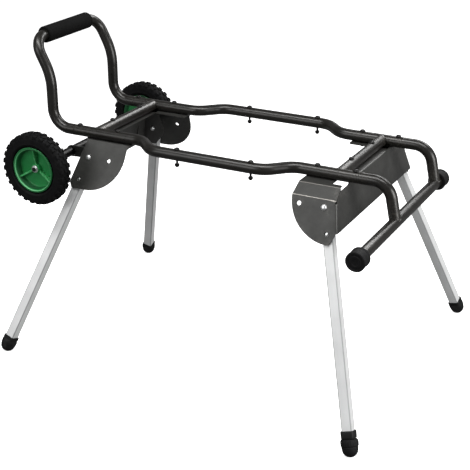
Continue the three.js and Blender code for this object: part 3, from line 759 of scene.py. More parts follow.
lean = math.radians(HANDLE_LEAN)
top_x = HANDLE_X - (HANDLE_TOP_Z - HANDLE_KINK_Z) * math.tan(lean)


def handle_side(s):
    y = s * RAIL_END_Y
    return [
        (RAIL_X0 - 0.5, y, RAIL_Z), (HANDLE_X, y, RAIL_Z, HANDLE_FOOT_R),
        (HANDLE_X, y, HANDLE_KINK_Z, HANDLE_KINK_R), (top_x, y, HANDLE_TOP_Z, HANDLE_CORNER_R),
    ]


bm = bmesh.new()
pipe(bm, fillet(handle_side(-1) + handle_side(1)[::-1]))
for s in (-1, 1):
    plug(bm, RAIL_X0 + PLUG_LEN, RAIL_X0 - 4, s)
closed_piece("tube_coat", "push_handle", "push_handle_tube", bm, TUBE)

# end frame: two turned-down elbows that meet the long bar in a saddle with a weld bead
turn_angle = math.radians(90 - ELBOW_LEAN)
corner_x = ELBOW_X + ELBOW_R * math.tan(turn_angle / 2)
bar_x = corner_x + (RAIL_Z - BAR_Z) * math.tan(math.radians(ELBOW_LEAN))
bm = bmesh.new()
bar_ys = (BAR_Y0 + CAP_FLOOR + 0.3, -160, 160, BAR_Y1 - CAP_FLOOR - 0.3)
pipe(bm, [Vector((bar_x, y, BAR_Z)) for y in bar_ys], segs=48)
for s in (-1, 1):
    y = s * RAIL_END_Y
    pts = fillet([(RAIL_X1 + 0.5, y, RAIL_Z), (corner_x, y, RAIL_Z, ELBOW_R), (bar_x, y, BAR_Z)])
    down = (pts[-1] - pts[-2]).normalized()
    segs = 48
    outer = tube_rings(bm, pts, TUBE_R, segs, ((0.5, 0.5), (0, 0)))
    inner = tube_rings(bm, pts, BORE_R, segs)
    for ring, r in ((outer[-1], TUBE_R), (inner[-1], BORE_R)):
        for v in ring:
            dy = v.co.y - y
            back = math.sqrt(max(TUBE_R ** 2 - dy * dy, 0)) - 0.4
            side_off = (v.co - pts[-1] - Vector((0, dy, 0))).length
            v.co = v.co - down * back
            # ride back along the elbow until the point lies on the bar's skin
            q = Vector((v.co.x - bar_x, v.co.z - BAR_Z))
            for _ in range(8):
                want = math.sqrt(max(TUBE_R ** 2 - dy * dy, 0.0))
                err = q.length - want
                v.co += down * (err * 0.5)
                q = Vector((v.co.x - bar_x, v.co.z - BAR_Z))
                if side_off >= TUBE_R:
                    break
    bridge(bm, outer + inner[::-1], closed=True)
    plug(bm, RAIL_X1 - PLUG_LEN, RAIL_X1 + 4, s)
    # weld bead: a lumpy ring that follows the saddle
    ring_pts = [v.co.copy() for v in outer[-1]]
    bead = []
    n = len(ring_pts)
    for i, q in enumerate(ring_pts):
        axis_pt = pts[-1] + down * (q - pts[-1]).dot(down)
        outwards = (q - axis_pt).normalized()
        along = (ring_pts[(i + 1) % n] - ring_pts[i - 1]).normalized()
        third = along.cross(outwards).normalized()
        swell = 2.1 + 0.35 * math.sin(i * math.pi * 2 / 3)
        bead.append([bm.verts.new(q + outwards * (swell * math.cos(a)) + third * (swell * math.sin(a)))
                     for a in [2 * math.pi * k / 8 for k in range(8)]])
    bridge(bm, bead, closed=True)
closed_piece("tube_coat", "end_frame", "end_frame_tube", bm, TUBE)

# ------------------------------------------------------------------ grip and bar caps
to_y = Matrix.Rotation(-math.pi / 2, 4, "X")
bm = bmesh.new()
gl = GRIP_LEN / 2
groove_r = GRIP_R - 0.35
prof = soften([
    (CAP_BORE_R, -gl), (GRIP_R, -gl), (GRIP_R, -gl + 9), (groove_r, -gl + 10), (groove_r, -gl + 11),
    (GRIP_R, -gl + 12), (GRIP_R, gl - 12), (groove_r, gl - 11), (groove_r, gl - 10), (GRIP_R, gl - 9),
    (GRIP_R, gl), (CAP_BORE_R, gl),
], [0, 4, 0.5, 0.4, 0.4, 0.5, 0.5, 0.4, 0.4, 0.5, 4, 0])
turn(bm, prof, 64, Matrix.Translation((top_x, 0, HANDLE_TOP_Z)) @ to_y, closed=True)
closed_piece("grip_foam", "handle_grip", "handle_grip_sleeve", bm, FOAM, sharp=60)

for name, y, flip in (("front_bar_cap", BAR_Y0, 1), ("rear_bar_cap", BAR_Y1, -1)):
    bm = bmesh.new()
    waist_r = CAP_R - 1.3
    prof = soften([
        (0, 0.9), (9, 0.9), (9.6, 0.2), (14.5, 0.2), (15.1, 0.9), (CAP_R - 5.5, 0.9), (CAP_R - 5, 0),
        (CAP_R, 0), (CAP_R, 7), (waist_r, 8.4), (waist_r, CAP_LEN - 7.5), (CAP_R, CAP_LEN - 6),
        (CAP_R, CAP_LEN), (CAP_BORE_R, CAP_LEN), (CAP_BORE_R, CAP_FLOOR), (0, CAP_FLOOR),
    ], [0, 0.3, 0.3, 0.3, 0.3, 0.3, 0.3, 4.5, 0.8, 0.8, 0.8, 0.8, 2, 0.6, 0.3, 0])
    side_m = to_y if flip > 0 else Matrix.Rotation(math.pi / 2, 4, "X")
    turn(bm, prof, 64, Matrix.Translation((bar_x, y, BAR_Z)) @ side_m)
    closed_piece("rubber", name, f"{name}_moulding", bm, RUBBER)


# ------------------------------------------------------------------ bolts
def thread(bm, r, z0, z1, matrix=None, pitch=1.0, segs=20):
    """A closed threaded stem between z0 and z1."""
    matrix = matrix or Matrix.Identity(4)
    steps = max(4, int((z1 - z0) / (pitch / 4)))
    rings = []
    for i in range(steps + 1):
        z = z0 + (z1 - z0) * i / steps
        ring = []
        for k in range(segs):
            a = 2 * math.pi * k / segs
            ph = ((z - z0) / pitch - k / segs) % 1.0
            taper = min(1.0, (z - z0) / 0.8 + 0.55, (z1 - z) / 0.8 + 0.55)
            rr = (r - 0.36 * abs(2 * ph - 1)) * (0.8 + 0.2 * taper)
            ring.append(bm.verts.new(matrix @ Vector((rr * math.cos(a), rr * math.sin(a), z))))
        rings.append(ring)
    bridge(bm, rings)
    cap(bm, rings)


def hex_nut(bm, across, z0, z1, bore, matrix=None, nylon=0.0):
    """A chamfered six-sided nut, open at its bore."""
    matrix = matrix or Matrix.Identity(4)
    segs = 48
    rings = []

    def ring(z, cap, r=None):
        out = []
        for k in range(segs):
            a = 2 * math.pi * k / segs
            b = (a + math.pi / 6) % (math.pi / 3) - math.pi / 6
            rr = r if r is not None else min(across / 2 / math.cos(b), cap)
            out.append(bm.verts.new(matrix @ Vector((rr * math.cos(a), rr * math.sin(a), z))))
        rings.append(out)

    big = across / math.sqrt(3)
    ring(z0, 0, bore)
    ring(z0, across / 2 * 0.98)
    ring(z0 + 0.35, across / 2 * 1.05)
    ring(z0 + 0.8, big)
    ring(z1 - 0.8, big)
    ring(z1 - 0.35, across / 2 * 1.05)
    ring(z1, across / 2 * 0.98)
    if nylon > 0:
        ring(z1, 0, across / 2 * 0.86)
        ring(z1 + nylon * 0.7, 0, across / 2 * 0.84)
        ring(z1 + nylon, 0, across / 2 * 0.74)
        ring(z1 + nylon, 0, bore)
    else:
        ring(z1, 0, bore)
    bridge(bm, rings, closed=True)


def carriage_bolt(name, x, y, nut, nut_h, tip):
    """Domed head on the tube and a threaded stem, with a lock nut and washer below where nut is not 0."""
    bm = bmesh.new()
    top = RAIL_Z + TUBE_R
    m = Matrix.Translation((x, y, top))
    head = soften([
        (0, 5.35), (3.4, 5.1), (5.6, 4.1), (6.9, 2.2), (7.2, 1.0), (7.2, 0.15), (3.2, 0.15),
        (3.2, -3.0), (0, -3.0),
    ], [0, 6, 5, 3, 0.8, 0.3, 0.1, 0.3, 0])
    turn(bm, head, 40, m)
    thread(bm, 3.0, -tip, -2.9, m)
    if nut:
        hex_nut(bm, 11.0, -nut - nut_h * 0.72, -nut - 0.9, 2.9, m)
        washer = [(3.1, -nut - 0.9), (6.35, -nut - 0.9), (6.35, -nut), (3.1, -nut)]
        turn(bm, soften(washer, 0.2, closed=True), 36, m, closed=True)
        flip = m @ Matrix.Translation((0, 0, -nut - nut_h * 0.72)) @ Matrix.Rotation(math.pi, 4, "X")
        collar = [(2.9, 0), (4.7, 0), (4.6, nut_h * 0.2), (4.0, nut_h * 0.28), (2.9, nut_h * 0.28)]
        turn(bm, soften(collar, 0.3, closed=True), 36, flip, closed=True)
    closed_piece("black_bolt", name, f"{name}_set", bm, BOLT, sharp=30)


for side, s in SIDES.items():
    for name, x, y, nut, nut_h, tip in (
        ("saw_bolt_wheel_end", -MID_BOLT_X, RAIL_MID_Y, 39, 8, 48),
        ("saw_bolt_bar_end", MID_BOLT_X, RAIL_MID_Y, 39, 8, 48),
        ("bracket_bolt_wheel_end", ENDS["wheel_end"]["boltX"], RAIL_END_Y, 33.9, 6, 43),
        ("bracket_bolt_bar_end", ENDS["bar_end"]["boltX"], RAIL_END_Y, 33.9, 6, 43),
        ("handle_bolt", ENDS["wheel_end"]["railBoltX"], RAIL_END_Y, 0, 0, 2 * TUBE_R - 1),
        ("end_frame_bolt", ENDS["bar_end"]["railBoltX"], RAIL_END_Y, 0, 0, 2 * TUBE_R - 1),
        ("crossbar_bolt_wheel_end", CROSSBAR_X[0], CROSSBAR_BOLT_Y, 33.9, 6, 43),
        ("crossbar_bolt_bar_end", CROSSBAR_X[1], CROSSBAR_BOLT_Y, 33.9, 6, 43),
    ):
        carriage_bolt(f"{side}_{name}", x, s * y, nut, nut_h, tip)


# ------------------------------------------------------------------ folded sheet brackets
def panel_at(e, z):
    return e["panelX"] - e["sign"] * e["panelK"] * (z - e["panelZ"])


def half_at(e, z):
    if z > e["creaseZ"]:
        return e["creaseY"] - (z - e["creaseZ"]) * (e["creaseY"] - e["shoulderY"]) / 20
    return e["creaseY"] + (e["creaseZ"] - z) * e["sin"] / e["cos"]


def arc(cx, cy, r, a0, a1, n):
    spots = [polar(r, math.radians(a0 + (a1 - a0) * k / n)) for k in range(n + 1)]
    return [(cx + x, cy + y) for x, y in spots]


def build_bracket(end, e):
    sign = e["sign"]
    SIN, COS = e["sin"], e["cos"]
    bend = 3.5
    bm = bmesh.new()
    zb, zt = e["panelBottom"], FLANGE_Z
    levels = [zb + (e["creaseZ"] - 7 - zb) * k / 10 for k in range(11)]
    for s in (-1, 1):
        # one wing: flange under the rail, shoulder, hanging plate; v runs outwards from the flange's edge
        tip = 170.0
        if sign > 0:
            line = [(FLANGE_Y, zt), (e["shoulderY"], zt), (e["creaseY"], e["creaseZ"]),
                    (e["creaseY"] + tip * SIN, e["creaseZ"] - tip * COS)]
            place, rows, at = folded(line, [bend, bend])
            crease = at[2]
            # bands along the two bends that get a painted highlight in the coat
            lines = [(at[1] - 1.6, at[1] + 0.6), (at[2] - 1.9, at[2] + 0.4)]
            rows += [v for a, b in lines for v in (a - 0.5, a + 0.2, b - 0.2, b + 0.5)]
            rows.sort()
            right = [(panel_at(e, z) - CORNER_R, crease + (e["creaseZ"] - z) / COS) for z in levels[::-1]]
            # flange, with a notch cut back from its outer end, then the disc-shaped plate
            free_x, tab_x, notch_x, cheek_x = 236.5, 352, 318, 346
            outline = [(free_x, 0), (tab_x, 0), (tab_x, 20), (notch_x, 20), (notch_x, 56), (cheek_x, 56)]
            outline += [(cheek_x, 75.5), (panel_at(e, zt) - 0.3, 76)]
            radii = [5, 3, 2, 2, 4, 4, 1.5, 1]
            outline += [(panel_at(e, e["creaseZ"]) - 1.0, crease - 1.0), (right[0][0], right[0][1] - 4)]
            radii += [1, 0]
            outline += right
            radii += [0] * len(right)
            low = [(364.5, 84.0), (359.5, 96.0), (357, 103), (352, 109)]
            outline += [(u, crease + v) for u, v in low]
            radii += [2, 4, 3, 4]
            disc = arc(349.5, -3, 113, 92, 177.5, 42)
            outline += [(u, crease + v) for u, v in disc]
            radii += [0] * (len(disc) - 1) + [1]
            outline += [(free_x + 0.1, crease - 1), (free_x + 1, at[1] + 2), (free_x, at[1] - 3)]
            radii += [1, 2, 1]
        else:
            line = [(FLANGE_Y, zt), (e["creaseY"], zt), (e["creaseY"] + tip * SIN, zt - tip * COS)]
            place, rows, at = folded(line, [bend])
            crease = at[1]
            right = [(panel_at(e, z) + CORNER_R, crease + (e["creaseZ"] - z) / COS) for z in levels]
            # walk: flange, then down the curved edge, round the bottom, and up the panel corner
            outline = [(-424, 0), (-279, 0), (-279, crease), (-286.5, crease + 14)]
            radii = [4, 4, 0, 0]
            disc = arc(-399, 28, 111, 4, 92, 46)
            outline += [(u, crease + v) for u, v in disc]
            radii += [0] * len(disc)
            outline += [(u, crease + v) for u, v in ((-438, 139), (-441, 138), (-449.5, 120.5))]
            radii += [3, 5, 3]
            outline += right
            radii += [0] * len(right)
            outline += [(right[-1][0], crease - 2), (-424, crease - 14)]
            radii += [2, 3]
        outline = soften(outline, radii, closed=True)
        pz = crease + e["pivotS"]
        lock_x = e["pivotX"] + sign * LOCK * math.sin(e["lean"])
        holes = [
            circle(e["pivotX"], pz, PIVOT_R + 0.3),
            circle(e["pivotX"] - sign * LOCK, pz, PLATE_HOLE_R),
            circle(lock_x, pz + LOCK * math.cos(e["lean"]), PLATE_HOLE_R),
        ]

        def wing(u, v, s=s, place=place):
            q = place(v)
            return Vector((u, s * q[0], q[1]))

        # only the bar end's bends get the painted highlight
        highlight_bands = lines if sign > 0 else ()
        flat_mesh(bm, outline, holes, wing, rows, facing=Vector((0, s, 0.5)), highlight_bands=highlight_bands)
        # rounded vertical corner between plate and cross panel
        strip = []
        for z in levels:
            cx, cy = panel_at(e, z) - sign * CORNER_R, half_at(e, z) - CORNER_R
            spots = [polar(CORNER_R, math.pi / 2 * k / 6) for k in range(7)]
            strip.append([bm.verts.new((cx + sign * across, s * (cy + out), z)) for out, across in spots])
        faces = []
        for a, b in zip(strip, strip[1:]):
            for i in range(6):
                faces.append(bm.faces.new((a[i], a[i + 1], b[i + 1], b[i])))
        orient(bm, faces, Vector((sign, s, 0)))
    # cross panel with its top folded in under the cross bar; v runs up from the bottom edge
    lip_x = CROSSBAR_X[1] if sign > 0 else CROSSBAR_X[0]
    line = [(panel_at(e, zb), zb), (panel_at(e, zt), zt), (lip_x - sign * 18, zt)]
    place, rows, at = folded(line, [5.0])
    slope = math.sqrt(1 + e["panelK"] ** 2)
    half_side = [(half_at(e, z) - CORNER_R, (z - zb) * slope) for z in levels]
    top_z = zt - 7
    step_y, step_z = (2, 2) if sign > 0 else (-3, -5)
    half_side += [(half_at(e, e["creaseZ"] + step_y) - 4.0, (e["creaseZ"] + step_z - zb) * slope)]
    if sign > 0:
        half_side += [(half_at(e, top_z) - 2.0, (top_z - zb) * slope), (158, (top_z - zb) * slope + 1)]
    half_side += [(150, rows[0] + 1.0), (150, at[2])]
    radii = [0] * (len(levels) + 1) + ([4, 3] if sign > 0 else []) + [2, 4]
    outline = half_side + [(-y, v) for y, v in half_side[::-1]]
    outline = soften(outline, radii + radii[::-1], closed=True)

    def panel(u, v):
        q = place(v)
        return Vector((q[0], u, q[1]))

    flat_mesh(bm, outline, [], panel, rows, facing=Vector((sign, 0, 0.2)))
    bmesh.ops.remove_doubles(bm, verts=bm.verts, dist=0.02)
    ob = finish_mesh(f"{end}_bracket_sheet", bm, PLATE)
    mod = ob.modifiers.new("sheet", "SOLIDIFY")
    mod.thickness = SHEET / 1000
    mod.offset = -1
    mod.use_even_offset = True
    mod.use_quality_normals = True
    bevel(ob, 0.5)
    stand_for(ob, "sheet_coat", f"{end}_bracket")
    # inner plates and axle ears go with the sheet
    bm = bmesh.new()
    for s in (-1, 1):
        off = LEG_SET + LEG + 1
        reach = 34
        pz = -e["pivotS"]
        top, bottom = (38, -72) if sign > 0 else (10, -112)
        # trimmed where the plane of the flange passes
        top = min(top, (zt - 0.8 - SHEET - e["creaseZ"] + off * SIN) / COS - (1.2 if sign > 0 else 0.4))
        limit = (zt - SHEET - 0.4 - e["creaseZ"] + (off + SHEET) * SIN) / COS
        top = min(top, limit)

        def inner_edge(z, e=e, off=off, sign=sign):
            return panel_at(e, e["creaseZ"] + z * COS - (off + 1.5) * SIN) - sign * (SHEET + 0.4)

        tip = e["pivotX"] - sign * reach
        outline = soften([
            (inner_edge(top), top), (tip, top), (tip, pz - 8), (tip + sign * 12, pz - 30),
            (e["pivotX"] + sign * 6, bottom), (inner_edge(bottom), bottom),
        ], [2, 5, 8, 20, 8, 2], closed=True)
        t = Matrix.Translation((0, s * e["creaseY"], e["creaseZ"])) @ Matrix.Rotation(s * e["splay"], 4, "X")
        y0 = -off - SHEET if s > 0 else off
        hole = circle(e["pivotX"], pz, PIVOT_R + 0.3)
        slab(bm, outline, [hole], lambda u, v, w, t=t, y0=y0: t @ Vector((u, y0 + w, v)), SHEET)
        if sign < 0:
            px = panel_at(e, WHEEL_Z) + 1.0
            ear = [(px + 4, WHEEL_Z - 12), (px + 10, WHEEL_Z + 22), (px - 20, WHEEL_Z + 17)]
            ear += arc(WHEEL_X, WHEEL_Z, EAR_R, 90, 270, 20)
            ear_y = 113 if s > 0 else -117
            hole = circle(WHEEL_X, WHEEL_Z, AXLE_R + 0.3, 40)
            slab(bm, ear, [hole], lambda u, v, w, y=ear_y: Vector((u, y + w, v)), 4.0)
    ob2 = bevel(finish_mesh(f"{end}_bracket_inner_plates", bm, PLATE), 0.5)
    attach(ob2, body_of(frame["nodes"][f"{end}_bracket"])[0])


for end, e in ENDS.items():
    build_bracket(end, e)


# ------------------------------------------------------------------ legs, pivots, buttons, feet
def square_loop(w, r, n=6):
    h = w / 2 - r
    out = []
    for cx, cy, a0 in ((h, h, 0), (-h, h, 90), (-h, -h, 180), (h, -h, 270)):
        for i in range(n + 1):
            a = math.radians(a0 + 90 * i / n)
            out.append((cx + r * math.cos(a), cy + r * math.sin(a)))
    return out


def loft(bm, sections, closed=True):
    """Skins sections of [(x, y)...] at heights z. Each section is (z, points)."""
    rings = [[bm.verts.new((x, y, z)) for x, y in pts] for z, pts in sections]
    bridge(bm, rings, closed=closed)
    return rings


def leg_tube(z0, z1):
    """Square tube with two clipped top corners."""
    bm = bmesh.new()
    n = 6
    outer = square_loop(LEG, 3.0, n)
    inner = square_loop(LEG - 2 * LEG_WALL, 1.4, n)
    c = LEG / 2

    def top(x):
        # the top edge falls away at both corners
        return min(z1, 4 + (c + 1 - abs(x)) * 9 / 8)

    rings = [[bm.verts.new((x, y, z0)) for x, y in inner], [bm.verts.new((x, y, z0)) for x, y in outer]]
    for z in (z0 + 0.6, z0 + (z1 - z0) * 0.25, z0 + (z1 - z0) * 0.5, z0 + (z1 - z0) * 0.75, -LOCK - 20, -12):
        rings.append([bm.verts.new((x, y, z)) for x, y in outer])
    rings.append([bm.verts.new((x, y, top(x))) for x, y in outer])
    rings.append([bm.verts.new((x, y, top(x))) for x, y in inner])
    rings.append([bm.verts.new((x, y, -12)) for x, y in inner])
    bridge(bm, rings, closed=True)
    bmesh.ops.recalc_face_normals(bm, faces=bm.faces)
    return bm


def morph(w0, r0, w1, r1, f, n=6):
    """A loop part way between two square loops."""
    pairs = zip(square_loop(w0, r0, n), square_loop(w1, r1, n))
    return [(a[0] * (1 - f) + b[0] * f, a[1] * (1 - f) + b[1] * f) for a, b in pairs]


for end, e in ENDS.items():
    for side, s in SIDES.items():
        tag = f"{end}_{side}"
        sign = e["sign"]
        pivot_y = e["creaseY"] + e["pivotS"] * e["sin"]
        pivot_z = e["creaseZ"] - e["pivotS"] * e["cos"]
        hub = (Matrix.Translation(P(e["pivotX"], s * pivot_y, pivot_z))
               @ Matrix.Rotation(s * e["splay"], 4, "X")
               @ Matrix.Rotation(-sign * e["lean"], 4, "Y"))
        axis_off = LEG_SET + LEG / 2
        leg_m = hub @ Matrix.Translation((0, -s * axis_off / 1000, 0))
        sole_d = (pivot_z - axis_off * e["sin"] - FOOT_R) / (e["cos"] * math.cos(e["lean"]))
        sole_top = -sole_d + 14
        bottom = sole_top + 1
        levelling = end == "bar_end" and side == "front"
        bm = leg_tube(sole_top + 16.4 if levelling else bottom, LEG_ABOVE)
        stand_for(finish_mesh(f"{tag}_leg_tube", bm, ALLOY, leg_m, sharp=30), "leg_alloy", f"{tag}_leg")

        # pivot bolt: low domed head outside, washer, nut inside
        outwards = Matrix.Rotation(-math.pi / 2 if s > 0 else math.pi / 2, 4, "X")
        out_m = hub @ outwards
        bm = bmesh.new()
        head = soften([
            (0, 4.2), (3.2, 4.0), (5.6, 3.1), (6.9, 1.4), (6.9, 0.75), (7.4, 0.7), (7.4, 0.2),
            (3.9, 0.2), (3.9, -3.4), (0, -3.4),
        ], [0, 6, 4, 1.6, 0.3, 0.2, 0.2, 0.1, 0.2, 0])
        turn(bm, head, 48)
        turn(bm, soften([(0, -3.3), (3.8, -3.3), (3.8, -36.0), (0, -36.0)], [0, 0.3, 0.3, 0]), 32)
        thread(bm, 3.8, -44.0, -35.9)
        flip = Matrix.Translation((0, 0, -35.7)) @ Matrix.Rotation(math.pi, 4, "X")
        hex_nut(bm, 12.0, 0.0, 5.0, 3.9, flip, nylon=1.4)
        closed_piece("zinc", f"{tag}_pivot_bolt", f"{tag}_pivot_set", bm, ZINC, out_m, sharp=30)

        # lock button: a round pin with a soft chamfer, on a shoulder
        # its tip is in the plate's hole, about 2.75 mm further out than the CAD button's
        tip = LEG / 2 + LEG_SET - 0.6
        btn_m = leg_m @ Matrix.Translation((0, 0, -LOCK / 1000)) @ outwards
        bm = bmesh.new()
        neck, tail = tip - PIN_NECK, tip - PIN_TAIL
        turn(bm, soften([
            (0, tip), (BUTTON_R, tip), (BUTTON_R, neck), (6.5, neck), (6.5, tail), (0, tail),
        ], [0, 2.6, 0.4, 0.4, 0.4, 0]), 40)
        closed_piece("zinc", f"{tag}_lock_button", f"{tag}_lock_pin", bm, ZINC, btn_m)

        if levelling:
            bm = bmesh.new()
            w, r = 33.0, 5.0
            # (height above the sole's top, width, corner radius)
            secs = [
                (12, 12.9, 6.4), (12, w - 2.4, r - 1), (12.6, w - 0.7, r), (14, w, r),
                (SOCKET_TOP - 3, w, r), (SOCKET_TOP - 0.8, w - 0.6, r), (SOCKET_TOP, w - 2, r),
                (SOCKET_TOP, LEG + 0.5, 3.2), (16, LEG + 0.5, 3.2), (16, 12.9, 6.4),
            ]
            loft(bm, [(sole_top + up, square_loop(across, round_r)) for up, across, round_r in secs])
            closed_piece(
                "black_plastic", f"{tag}_foot_socket",
                f"{tag}_foot_socket_moulding", bm, PLASTIC, leg_m, sharp=40,
            )
            # knurled ring over a domed rubber sole, on one threaded stem
            bm = bmesh.new()
            prof = [(0, -sole_d - FOOT_R)]
            for k in range(1, 13):
                a = math.radians(-90 + 78.0 * k / 12)
                prof.append((FOOT_R * math.cos(a), -sole_d + FOOT_R * math.sin(a)))
            ring = [
                (20.9, -9), (20.2, -7.6), (22.2, -5.6), (22.4, 2),
                (21.9, 7), (19.5, 10.6), (16.5, 11.6), (6, 11.6),
            ]
            ring = [(ring_r, sole_top + up) for ring_r, up in ring]
            prof += soften([prof[-1]] + ring, [0, 0.8, 0.6, 0.9, 1.5, 1.5, 1.5, 1.0, 0])[1:]
            prof += [(6, sole_top + 12), (0, sole_top + 12)]
            segs = 96
            turn(bm, prof, segs)
            for v in bm.verts:
                rr = math.hypot(v.co.x, v.co.y)
                if rr > 20.8 and v.co.z > sole_top - 6.5:
                    k = round(math.atan2(v.co.y, v.co.x) / (2 * math.pi) * segs) % 4
                    f = 0.0 if k < 2 else 0.75
                    v.co.x *= (rr - f) / rr
                    v.co.y *= (rr - f) / rr
            thread(bm, 6.0, sole_top + 11.9, sole_top + 44, pitch=1.75, segs=24)
            closed_piece(
                "rubber", f"{tag}_levelling_foot",
                f"{tag}_levelling_foot_moulding", bm, RUBBER, leg_m, sharp=32,
            )
        else:
            bm = bmesh.new()
            n = 6
            secs = []
            for k in range(0, 13):
                a = math.radians(-88 + 76 * k / 12)
                rr = FOOT_R * math.cos(a)
                secs.append((-sole_d + FOOT_R * math.sin(a), square_loop(2 * rr, rr, n)))
            flare = [(-9.2, 42.2, 21.1), (-4, 43.0, 21.5), (-1, 42.6, 21.2), (1.2, 40.5, 19.5)]
            sleeve = [
                (4.6, 33.2, 4.6), (7, 33, 4.2), (SLEEVE_TOP - 1.4, 33, 4.2), (SLEEVE_TOP - 0.3, 32.4, 4.0),
                (SLEEVE_TOP, 31, 3.6), (SLEEVE_TOP, LEG + 0.5, 3.2),
            ]
            secs += [(sole_top + up, square_loop(across, round_r, n)) for up, across, round_r in flare]
            secs += [(sole_top + 2.6, morph(36, 14, 34, 5, 0.5))]
            secs += [(sole_top + up, square_loop(across, round_r, n)) for up, across, round_r in sleeve]
            secs += [(bottom - 0.2, square_loop(LEG + 0.5, 3.2, n))]
            rings = loft(bm, secs, closed=False)
            cap(bm, rings)
            closed_piece("rubber", f"{tag}_foot", f"{tag}_foot_moulding", bm, RUBBER, leg_m, sharp=40)

# ------------------------------------------------------------------ axle and wheels
bm = bmesh.new()
ye = WHEEL_Y + SPINDLE_END
turn(bm, soften([
    (0, -ye), (SPINDLE_R, -ye), (SPINDLE_R, -(WHEEL_Y - 24)), (AXLE_R, -(WHEEL_Y - 24)),
    (AXLE_R, WHEEL_Y - 24), (SPINDLE_R, WHEEL_Y - 24), (SPINDLE_R, ye), (0, ye),
], [0, 1, 0.4, 1, 1, 0.4, 1, 0]), 48, Matrix.Translation((WHEEL_X, 0, WHEEL_Z)) @ to_y)
closed_piece("axle_black", "axle", "axle_rod", bm, AXLE)


def block(bm, corners):
    """A closed eight-cornered block from two loops of four points."""
    a = [bm.verts.new(c) for c in corners[:4]]
    b = [bm.verts.new(c) for c in corners[4:]]
    bm.faces.new(a[::-1])
    bm.faces.new(b)
    for i in range(4):
        j = (i + 1) % 4
        bm.faces.new((a[i], a[j], b[j], b[i]))


def wheel_rim():
    bm = bmesh.new()
    prof = soften([
        (SPINDLE_R + 0.3, -22), (13, -22), (13.5, -9), (54, -9), (57, -17), (RIM_R + 0.8, -20),
        (RIM_R + 0.8, -17), (RIM_R - 1.6, -14), (RIM_R - 1.6, 14), (RIM_R + 0.8, 17), (RIM_R + 0.8, 20),
        (RIM_R - 3, 20.5), (RIM_R - 5.2, 18.5), (RIM_R - 6.6, 15), (54, -3), (15, -4), (13.5, HUB_FACE - 2),
        (11.5, HUB_FACE), (SPINDLE_R + 0.3, HUB_FACE),
    ], [0.4, 1, 2, 2, 2, 1, 0.6, 0.6, 0.6, 0.6, 1, 1.2, 1.5, 3, 3, 2, 1.2, 1.2, 0.5], closed=True)
    turn(bm, prof, 96, closed=True)
    for i in range(3):
        # tapered rib from hub to rim
        rot = Matrix.Rotation(math.radians(90 + 120 * i), 4, "Z")
        rib = [(11, -5.0), (54.5, -4.5), (57.2, 13.4), (56, 15.0), (12.5, HUB_FACE - 2.2)]
        rings = []
        for w, inset in ((-2.4, 0.9), (-1.5, 0.0), (1.5, 0.0), (2.4, 0.9)):
            ring = [(x, w * (1.25 if z < 5 else 1.0), z - (inset if z > 4 else 0)) for x, z in rib]
            rings.append([bm.verts.new(rot @ Vector(q)) for q in ring])
        bridge(bm, rings)
        cap(bm, rings)
    bmesh.ops.recalc_face_normals(bm, faces=bm.faces)
    return bm


def wheel_tyre():
    bm = bmesh.new()
    r0 = RIM_R - 1.0
    skin = TYRE_R - 3.3
    prof = soften([
        (r0, -13.3), (RIM_R + 4, -13.3), (RIM_R + 4.5, -19), (RIM_R + 9, -21.3), (RIM_R + 10.2, -21.9),
        (RIM_R + 12, -21.3), (TYRE_R - 15, -21.4), (TYRE_R - 7, -18.6), (skin, -12), (skin, 12),
        (TYRE_R - 7, 18.6), (TYRE_R - 15, 21.4), (RIM_R + 12, 21.3), (RIM_R + 10.2, 21.9),
        (RIM_R + 9, 21.3), (RIM_R + 4.5, 19), (RIM_R + 4, 13.3), (r0, 13.3),
    ], [0.3, 0.5, 2.5, 1, 0.6, 1, 5, 5, 5, 5, 5, 5, 1, 0.6, 1, 2.5, 0.5, 0.3], closed=True)
    turn(bm, prof, 128, closed=True)
    pitch = 28
    for i in range(pitch):
        for row in (-1, 1):
            mid = 2 * math.pi * (i + (0.5 if row > 0 else 0.0)) / pitch
            # centre lug, slanted, and a shoulder lug wrapping down the side wall
            lugs = [
                ([(0.8, -0.36), (10.4, -0.20), (10.4, 0.34), (0.8, 0.18)], skin - 1.5, TYRE_R, TYRE_R),
                ([(12.2, -0.40), (20.9, -0.34), (20.9, 0.20), (12.2, 0.14)],
                 skin - 4.0, TYRE_R - 0.4, TYRE_R - 3.6),
            ]
            for foot, base, high_in, high_out in lugs:
                low, up = [], []
                cw = sum(p[0] for p in foot) / 4
                ca = sum(p[1] for p in foot) / 4
                for w, a in foot:
                    ang = mid + a * 2 * math.pi / pitch
                    ang_t = mid + (ca + (a - ca) * 0.86) * 2 * math.pi / pitch
                    wt = cw + (w - cw) * 0.88
                    r_top = high_in if w < cw else high_out
                    r_low = base if w < cw else base - (5.0 if high_out < high_in else 0)
                    low.append((*polar(r_low, ang), row * w))
                    up.append((*polar(r_top, ang_t), row * wt))
                block(bm, low + up)
    for i in range(pitch * 2):
        # small side-wall bars under the shoulder lugs
        for row in (-1, 1):
            ang = 2 * math.pi * i / (pitch * 2)
            w = 0.012
            r_a, r_b = TYRE_R - 15.5, TYRE_R - 9.5
            z_a, z_b = row * 21.2, row * 19.3
            up = row * 0.7
            c = [(*polar(r_a, ang - w), z_a - up), (*polar(r_b, ang - w), z_b - up),
                 (*polar(r_b, ang + w), z_b - up), (*polar(r_a, ang + w), z_a - up)]
            block(bm, c + [(x, y, z + 2 * up) for x, y, z in c])
    bmesh.ops.recalc_face_normals(bm, faces=bm.faces)
    return bm


